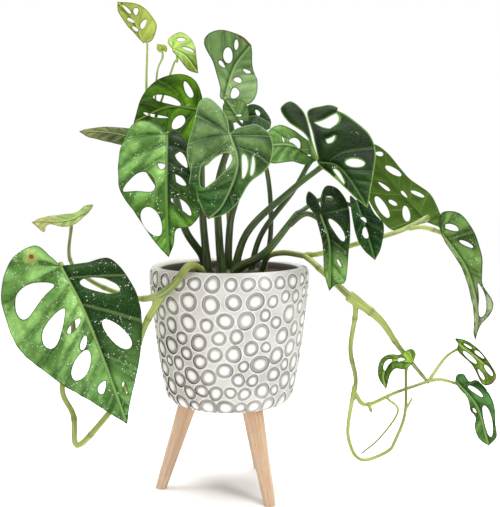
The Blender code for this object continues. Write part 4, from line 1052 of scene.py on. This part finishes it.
def build_stems(node, stems, paint):
    """All the stems of one shoot or runner, with their stock, as one piece."""
    runner = node.startswith("vine")
    skins, age, scar, tender = [], [], [], []
    if node in STOCKS:
        x, y, radius, top = STOCKS[node]
        low = top - 0.3 * radius
        skins.append(tube_skin([(x, y, 194), (x, y, low)], (radius, radius * 0.9), []))
        age.append(np.zeros(len(skins[-1][0])))
        scar.append(np.ones(len(skins[-1][0])) * 0.5)
        tender.append(np.zeros(len(skins[-1][0])))
    for stem, (start, end, path) in stems.items():
        led = carried_path(stem, path, end)
        length = arc_lengths(smooth_line(led, 10))[-1]
        rooted = path[0][2] <= 200
        swellings = [(0.0, 0.22 if rooted else 0.3, 22.0 if rooted else 5.0)]
        knots = []
        if runner and start > 1.9:
            knots = list(np.arange(24.0, length - 10, 41.0))
            swellings += [(k, 0.13, 2.6) for k in knots]
        if stem in CARRIES:
            swellings.append((length - 8.0, 0.22, 4.5))
        made = tube_skin(led, (start, end), swellings)
        skins.append(made)
        along = made[2][:, 2]
        age.append(along / length)
        marks = sum((hump(along - k, 1.6) for k in knots), np.zeros(len(along)))
        scar.append(np.clip(marks, 0, 1))
        tender.append(ramp(along, 2.0, 30.0) * (stem in TENDER_STEMS))
    points, faces, local = joined(skins)
    attributes = {"stem": local, "age": np.concatenate(age), "scar": np.concatenate(scar),
                  "tender": np.concatenate(tender)}
    name = node.replace("shoot", "petioles").replace("vine", "runner")
    return finish_piece(skin(name, points, faces, attributes), paint, [node])


def stem_paint(name, base, top, pale, scar_tone):
    """Smooth stem: greener at its base, long pale streaks, brown scars at its knots."""
    paint = Paint(name, {"Specular IOR Level": 0.45})
    stem = paint.attribute("stem")
    age = paint.attribute("age", "Fac")
    scar = paint.attribute("scar", "Fac")
    tender = paint.attribute("tender", "Fac")
    streak = paint.cloud(paint.stretched(stem, (1.0, 1.0, 0.05)), 0.8, 4.0)
    freckle = paint.cloud(paint.stretched(stem, (1.0, 1.0, 0.5)), 1.1, 3.0)
    colour = paint.mix(age.between(0.2, 1.0), tone(base), tone(top))
    colour = paint.mix(streak.between(0.45, 0.7) * 0.45, colour, tone(pale))
    colour = paint.mix(tender * 0.9, colour, tone((158, 178, 90)))
    colour = paint.mix(freckle.between(0.64, 0.74) * 0.35, colour, tone(scar_tone))
    colour = paint.mix(scar * (0.35 + 0.5 * freckle), colour, tone(scar_tone))
    height = streak * 0.6 + freckle * 0.4
    return paint.done(colour, 0.38 + streak * 0.16, paint.bump(height, 0.0004))


def lathe(profile, turns):
    """A profile of (radius, height) carried round the upright axis, as a grid of rows."""
    turn = 2 * math.pi * np.arange(turns) / turns
    radius, height = profile.T
    return np.stack([np.outer(radius, np.cos(turn)), np.outer(radius, np.sin(turn)),
                     np.repeat(height[:, None], turns, axis=1)], axis=-1)


def ring_places():
    """Scattered rings on the wall as turn, height and radius.

    They start at random places. In each round every two that are too close are moved apart
    by a share of what they lack, and all are kept between the foot and the rim. The room
    that each wants starts larger than it needs and shrinks, so that they spread evenly.
    """
    picks = np.random.RandomState(RING_SEED)
    radius = picks.uniform(*RING_RADII, RING_COUNT)
    round_it = picks.uniform(0, 2 * math.pi, RING_COUNT) * RING_MEAN_WIDE
    height = picks.uniform(RING_FOOT_Z, RING_TOP_Z, RING_COUNT)
    whole = 2 * math.pi * RING_MEAN_WIDE
    wanted = radius[:, None] + radius + RING_SPACING
    for step in range(RING_ROUNDS):
        room = wanted * (RING_FIRST_ROOM + (1 - RING_FIRST_ROOM) * step / RING_ROUNDS)
        x = (round_it[:, None] - round_it + whole / 2) % whole - whole / 2
        y = height[:, None] - height
        gap = np.hypot(x, y) + 10.0 * np.eye(RING_COUNT)
        push = 0.3 * np.maximum(room - gap, 0) * (1 - np.eye(RING_COUNT)) / gap
        round_it = round_it + (x * push).sum(axis=1)
        height = np.clip(height + (y * push).sum(axis=1), RING_FOOT_Z, RING_TOP_Z)
    return np.column_stack([round_it / RING_MEAN_WIDE % (2 * math.pi), height, radius])


def ring_share(turn, height, wide):
    """Distance from the nearest ring's middle over that ring's own radius, for every place.

    Each ring is a little oval and uneven: its radius changes with two slow waves round it.
    """
    picks = np.random.RandomState(RING_SEED + 1)
    share = np.full(turn.shape, 9.0)
    for middle, z, radius in ring_places():
        wave, second = picks.uniform(0, 2 * math.pi, 2)
        oval, bump = picks.uniform(0.02, 0.08), picks.uniform(0.01, 0.035)
        rows = np.abs(height[:, 0] - z) < radius * 1.6
        apart = (turn[rows] - middle + math.pi) % (2 * math.pi) - math.pi
        x, y = apart * wide[rows], height[rows] - z
        round_it = np.arctan2(y, x)
        own = radius * (1 + oval * np.cos(2 * round_it + wave) + bump * np.cos(3 * round_it + second))
        share[rows] = np.minimum(share[rows], np.hypot(x, y) / own)
    return share


def build_pot():
    """The pot: a profile carried round its axis, with rings pressed into its wall.

    Seen from its middle out, a ring is a low dished disc, a groove and a thin raised lip.
    """
    wall = spaced(smooth_line(POT_OUTSIDE, 8), WALL_GAP)
    under = np.column_stack([np.linspace(9.0, wall[0, 0] - 2.0, 5), np.full(5, POT_BASE_Z)])
    brim = spaced(smooth_line([POT_OUTSIDE[-1]] + POT_INSIDE[:3], 8), 1.4)[1:]
    inner = spaced(smooth_line(POT_INSIDE[2:], 6), 9.0)[1:]
    floor = np.column_stack([np.linspace(38.0, 9.0, 4), np.full(4, POT_FLOOR_Z)])
    profile = np.vstack([under, wall, brim, inner, floor])
    points = lathe(profile, POT_TURNS)
    slope = unit(np.gradient(wall, axis=0))
    turn = np.arctan2(points[..., 1], points[..., 0])[5:5 + len(wall)]
    height, wide = (np.repeat(c[:, None], POT_TURNS, axis=1) for c in (wall[:, 1], wall[:, 0]))
    share = ring_share(turn, height, wide)
    disc = 1 - ramp(share, 0.52, 0.66)
    groove = ramp(share, 0.55, 0.70) * (1 - ramp(share, 0.84, 0.98))
    lip = hump(share - 1.02, 0.07)
    dish = 0.25 * (1 - np.clip(share / 0.55, 0, 1) ** 2)
    rise = 0.55 + 0.3 * disc * (1 - dish) - 1.15 * groove + 0.28 * lip
    rise *= ramp(height, POT_BASE_Z + 2, POT_BASE_Z + 7) * (1 - ramp(height, 212.0, 216.0))
    out = np.stack([slope[:, 1, None] * np.cos(turn), slope[:, 1, None] * np.sin(turn),
                    np.repeat(-slope[:, 0, None], POT_TURNS, axis=1)], axis=-1)
    points[5:5 + len(wall)] += out * rise[..., None]
    marks = {"ring": np.full(points.shape[:2], 2.0), "inside": np.zeros(points.shape[:2])}
    marks["ring"][5:5 + len(wall)] = np.minimum(share, 2.0)
    marks["inside"][5 + len(wall) + 4:] = 1.0
    poles = [(0, 0, POT_BASE_Z), (0, 0, POT_FLOOR_Z)]
    attributes = {label: np.append(m.ravel(), (0, 0)) for label, m in marks.items()}
    skin_points = np.vstack([points.reshape(-1, 3), poles])
    pot = skin("ringed_pot", skin_points, grid_faces(len(profile), POT_TURNS), attributes)
    return finish_piece(pot, cement_paint(), ["pot"])


def cement_paint():
    """Whitewashed cement: chalky ground, a grey wash left in the rings' grooves, fine grit, and painted
    shade darkening the pot's left side.
    """
    paint = Paint("washed_cement_finish", {"Specular IOR Level": 0.2})
    where = paint.place()
    ring = paint.attribute("ring", "Fac")
    inside = paint.attribute("inside", "Fac")
    cloudy = paint.cloud(where, 26.0, 4.0)
    uneven = paint.cloud(where, 75.0, 4.0)
    grit = paint.cloud(where, 900.0, 4.0)
    pits = 1 - paint.cells(where, 420.0, "F1").between(0.08, 0.22)
    # Painted shade: this mask darkens the pot's left side, its ground and its rings' lines.
    left = 1 - paint.part(where, 0).between(-0.095, 0.035)
    frayed = ring + (uneven - 0.5) * 0.14
    middle = 1 - frayed.between(0.30, 0.60)
    wash = frayed.between(0.54, 0.68) * (1 - frayed.between(0.88, 0.96))
    outer_line = frayed.between(0.83, 0.90) * (1 - frayed.between(0.92, 0.98))
    inner_line = frayed.between(0.58, 0.64) * (1 - frayed.between(0.66, 0.74))
    lip = frayed.between(0.95, 1.0) * (1 - frayed.between(1.02, 1.12))
    ground = paint.mix(cloudy.between(0.35, 0.7), tone((208, 207, 204)), tone((180, 178, 175)))
    # Painted shade: the ground greyer towards the pot's left.
    colour = paint.mix(left * 0.5, ground, tone((176, 168, 154)))
    colour = paint.mix(lip * 0.6, colour, tone((236, 234, 230)))
    # The grey wash in the grooves, heavier towards the left by painted shade.
    colour = paint.mix(wash * (0.35 + 0.3 * left) * (0.5 + uneven), colour, tone((124, 119, 112)))
    colour = paint.mix(middle * 0.75, colour, tone((236, 235, 232)))
    worn = uneven.between(0.36, 0.58)
    # The inner ring line, darker towards the left by painted shade.
    colour = paint.mix(inner_line * worn * (0.3 + 0.4 * left), colour, tone((84, 78, 70)))
    # A dark line round each ring's outer edge, darker towards the left by painted shade.
    outer_line_with_left_shade = outer_line * cloudy.between(0.34, 0.56) * (0.55 + 0.45 * left)
    colour = paint.mix(outer_line_with_left_shade, colour, tone((52, 46, 40)))
    colour = paint.mix(inside * 0.95, colour, tone((62, 56, 48)))
    colour = paint.mix(pits * uneven.between(0.45, 0.6) * 0.5, colour, tone((130, 124, 116)))
    height = grit * 0.35 + uneven * 0.5 - pits * 0.5
    return paint.done(colour, 0.78 + uneven * 0.15, paint.bump(height, 0.0005))


def build_soil():
    """Potting soil: a turned body whose top is covered with crumbs, the higher dome winning."""
    wall = [(r - SOIL_GAP, z) for r, z in reversed(POT_INSIDE) if z < SOIL_TOP_Z]
    top = wall[-1][0]
    wall = np.array(wall + [(top, SOIL_TOP_Z - 1.5), (top - 0.8, SOIL_TOP_Z - 0.4)])
    wall[0, 1] += 0.3
    under = np.column_stack([(15.0, 32.0), np.full(2, wall[0, 1])])
    cover = np.column_stack([np.linspace(top - 2.0, 1.5, 52), np.full(52, SOIL_TOP_Z)])
    profile = np.vstack([under, wall, cover])
    points = lathe(profile, SOIL_TURNS)
    picks = np.random.RandomState(SOIL_SEED)
    first = len(under) + len(wall)
    x, y = points[first:, :, 0], points[first:, :, 1]
    lift = np.zeros_like(x)
    for _ in range(620):
        reach, turn, size = 63 * math.sqrt(picks.uniform()), picks.uniform(0, 7), picks.uniform(1.4, 4.2)
        dome = 1 - ((x - reach * math.cos(turn)) ** 2 + (y - reach * math.sin(turn)) ** 2) / size**2
        lift = np.maximum(lift, np.sqrt(np.maximum(dome, 0)) * size * picks.uniform(0.25, 0.6))
    points[first:, :, 2] += lift * ramp(top - np.hypot(x, y), 0.0, 6.0)
    skin_points = np.vstack([points.reshape(-1, 3), (0, 0, wall[0, 1]), (0, 0, SOIL_TOP_Z)])
    soil = skin("crumbly_soil", skin_points, grid_faces(len(profile), SOIL_TURNS), {}, 180)
    paint = Paint("dark_soil", {"Specular IOR Level": 0.2})
    where = paint.place()
    crumbs, dust = paint.cloud(where, 240.0, 5.0), paint.cloud(where, 1200.0, 3.0)
    colour = paint.mix(crumbs.between(0.35, 0.7), tone((24, 19, 15)), tone((66, 52, 40)))
    colour = paint.mix(dust.between(0.62, 0.72) * 0.5, colour, tone((112, 92, 70)))
    done = paint.done(colour, 0.85 + dust * 0.1, paint.bump(crumbs + dust * 0.4, 0.0012))
    return finish_piece(soil, done, ["soil"])


def beech_paint():
    """Pale beech: slow bands and short brown flecks that both run along the leg."""
    paint = Paint("pale_beech", {"Specular IOR Level": 0.4})
    grain = paint.attribute("grain")
    bands = paint.cloud(paint.stretched(grain, (1.0, 1.0, 0.035)), 0.33, 4.0)
    fibres = paint.cloud(paint.stretched(grain, (1.0, 1.0, 0.05)), 2.2, 4.0)
    flecks = paint.cloud(paint.stretched(grain, (1.0, 1.0, 0.14)), 1.7, 2.0)
    colour = paint.mix(bands.between(0.3, 0.7), tone((212, 186, 160)), tone((190, 156, 124)))
    colour = paint.mix(fibres.between(0.4, 0.75) * 0.4, colour, tone((172, 134, 100)))
    colour = paint.mix(flecks.between(0.62, 0.7) * 0.45, colour, tone((164, 116, 74)))
    shade = paint.part(grain, 2).between(58.0, 90.0)
    colour = paint.mix(shade * 0.3, colour, tone((176, 130, 84)))
    height = fibres * 0.6 + flecks * 0.5
    return paint.done(colour, 0.42 + fibres * 0.15, paint.bump(height, 0.0003))


def build_leg(k, paint):
    """A leg: level circles whose middles lean in to the pot, with a rounded foot and tenon."""
    turn = math.radians(LEG_TURN + 360.0 * k / LEG_COUNT)
    top = POT_BASE_Z - 0.3
    height = np.concatenate([[0.0, 0.15, 0.5, 1.1], np.linspace(2.0, top - 0.5, 60),
                             [top, top, top + TENON_LENGTH]])
    radius = np.interp(height, [0, top], [LEG_FOOT_RADIUS, LEG_TOP_RADIUS])
    radius[:3] -= (0.9, 0.45, 0.15)
    radius[-3] -= 0.25
    radius[-2:] = TENON_RADIUS
    spread = LEG_FOOT_SPREAD + (LEG_TOP_SPREAD - LEG_FOOT_SPREAD) * height / POT_BASE_Z
    local = lathe(np.column_stack([radius, height]), 48)
    points = local + (spread * np.array([[math.cos(turn)], [math.sin(turn)], [0]])).T[:, None]
    poles = [(*(points[0, :, :2].mean(axis=0)), 0), (*(points[-1, :, :2].mean(axis=0)), height[-1])]
    where = np.vstack([local.reshape(-1, 3) + (17.0 * k, 0, 0), (0, 0, 0), (0, 0, height[-1])])
    skin_points = np.vstack([points.reshape(-1, 3), poles])
    faces = grid_faces(len(height), 48)
    leg = skin("turned_leg_%d" % (k + 1), skin_points, faces, {"grain": where}, 60)
    return finish_piece(leg, paint, ["leg_%d" % (k + 1)])


def build_stake():
    """A slim straight stake with a rounded head."""
    path = [STAKE_FOOT, [(a + b) / 2 for a, b in zip(STAKE_FOOT, STAKE_HEAD)], STAKE_HEAD]
    points, faces, local = tube_skin(path, STAKE_RADII, [])
    paint = Paint("orange_wood", {"Specular IOR Level": 0.35})
    grain = paint.attribute("grain")
    fibres = paint.cloud(paint.stretched(grain, (1.0, 1.0, 0.05)), 1.4, 4.0)
    colour = paint.mix(fibres.between(0.35, 0.7), tone((186, 126, 74)), tone((140, 84, 44)))
    done = paint.done(colour, 0.6 + fibres * 0.1, paint.bump(fibres, 0.0003))
    stake = skin("round_stake", points, faces, {"grain": local})
    return finish_piece(stake, done, ["support_stake"])


def aim(item, target):
    """Turn a lamp or camera so that it looks at the target."""
    item.rotation_euler = (Vector(target) - item.location).to_track_quat("-Z", "Y").to_euler()


def soft_lamp(name, place, size, watts):
    lamp = bpy.data.lights.new(name, "AREA")
    lamp.size, lamp.energy = size, watts
    item = bpy.data.objects.new(name, lamp)
    item.location = place
    aim(item, (0.0, 0.0, 0.24))
    bpy.context.scene.collection.objects.link(item)


def studio():
    """Pale floor, white walls under a dimmer ceiling, and soft lamps."""
    mesh = bpy.data.meshes.new("pale_floor")
    turn = np.linspace(0, 2 * math.pi, 97)[:-1]
    ring = np.column_stack([np.cos(turn), np.sin(turn), 0 * turn]) * FLOOR_REACH
    mesh.from_pydata(ring.tolist(), [], [list(range(len(ring)))])
    floor = bpy.data.objects.new("pale_floor", mesh)
    bpy.context.scene.collection.objects.link(floor)
    fixed = {"Base Color": tone((250, 249, 248)), "Roughness": 0.9, "Specular IOR Level": 0.1}
    mesh.materials.append(Paint("floor_white", fixed).material)
    world = bpy.data.worlds.new("white_studio")
    world.use_nodes = True
    nodes, links = world.node_tree.nodes, world.node_tree.links
    direction = nodes.new("ShaderNodeTexCoord")
    parts = nodes.new("ShaderNodeSeparateXYZ")
    height = nodes.new("ShaderNodeMapRange")
    height.interpolation_type = "SMOOTHSTEP"
    for entry, value in enumerate((0.0, 0.16, 0.50, 1.0, CEILING_LIGHT)):
        if entry:
            height.inputs[entry].default_value = value
    links.new(direction.outputs["Generated"], parts.inputs[0])
    links.new(parts.outputs[2], height.inputs[0])
    links.new(height.outputs[0], nodes["Background"].inputs["Strength"])
    nodes["Background"].inputs["Color"].default_value = (1.0, 1.0, 1.0, 1.0)
    bpy.context.scene.world = world
    bpy.context.scene.view_settings.view_transform = "Standard"
    soft_lamp("key_right", (0.9, -1.0, 1.6), 0.5, 14.0)
    soft_lamp("top", (-0.1, 0.1, 1.8), 1.6, 62.0)


def camera():
    """The photograph's view: 983 mm in front of the pot, 5.8 degrees down."""
    lens = bpy.data.cameras.new("photo_view")
    lens.sensor_fit = "VERTICAL"
    lens.sensor_height = lens.sensor_width = 36.0
    lens.lens = 73.49
    item = bpy.data.objects.new("photo_view", lens)
    item.location = in_place((19.7, -983.0, 328.5))
    item.rotation_euler = (math.radians(90 - 5.81), 0.0, 0.0)
    bpy.context.scene.collection.objects.link(item)
    bpy.context.scene.camera = item


camera()
studio()
build_pot()
build_soil()
beech = beech_paint()
for leg in range(LEG_COUNT):
    build_leg(leg, beech)
build_stake()
petiole = stem_paint("petiole_skin", (36, 54, 16), (52, 80, 26), (122, 144, 70), (60, 52, 28))
runner = stem_paint("runner_skin", (142, 156, 74), (100, 116, 50), (202, 208, 140), (92, 82, 48))
for node, stems in STEMS.items():
    vine = node.startswith("vine")
    build_stems(node, stems, runner if vine else petiole)
for node, spec in BLADES.items():
    build_leaf(node, spec, leaf_paint(node, spec, LEAF_LOOKS[node]))
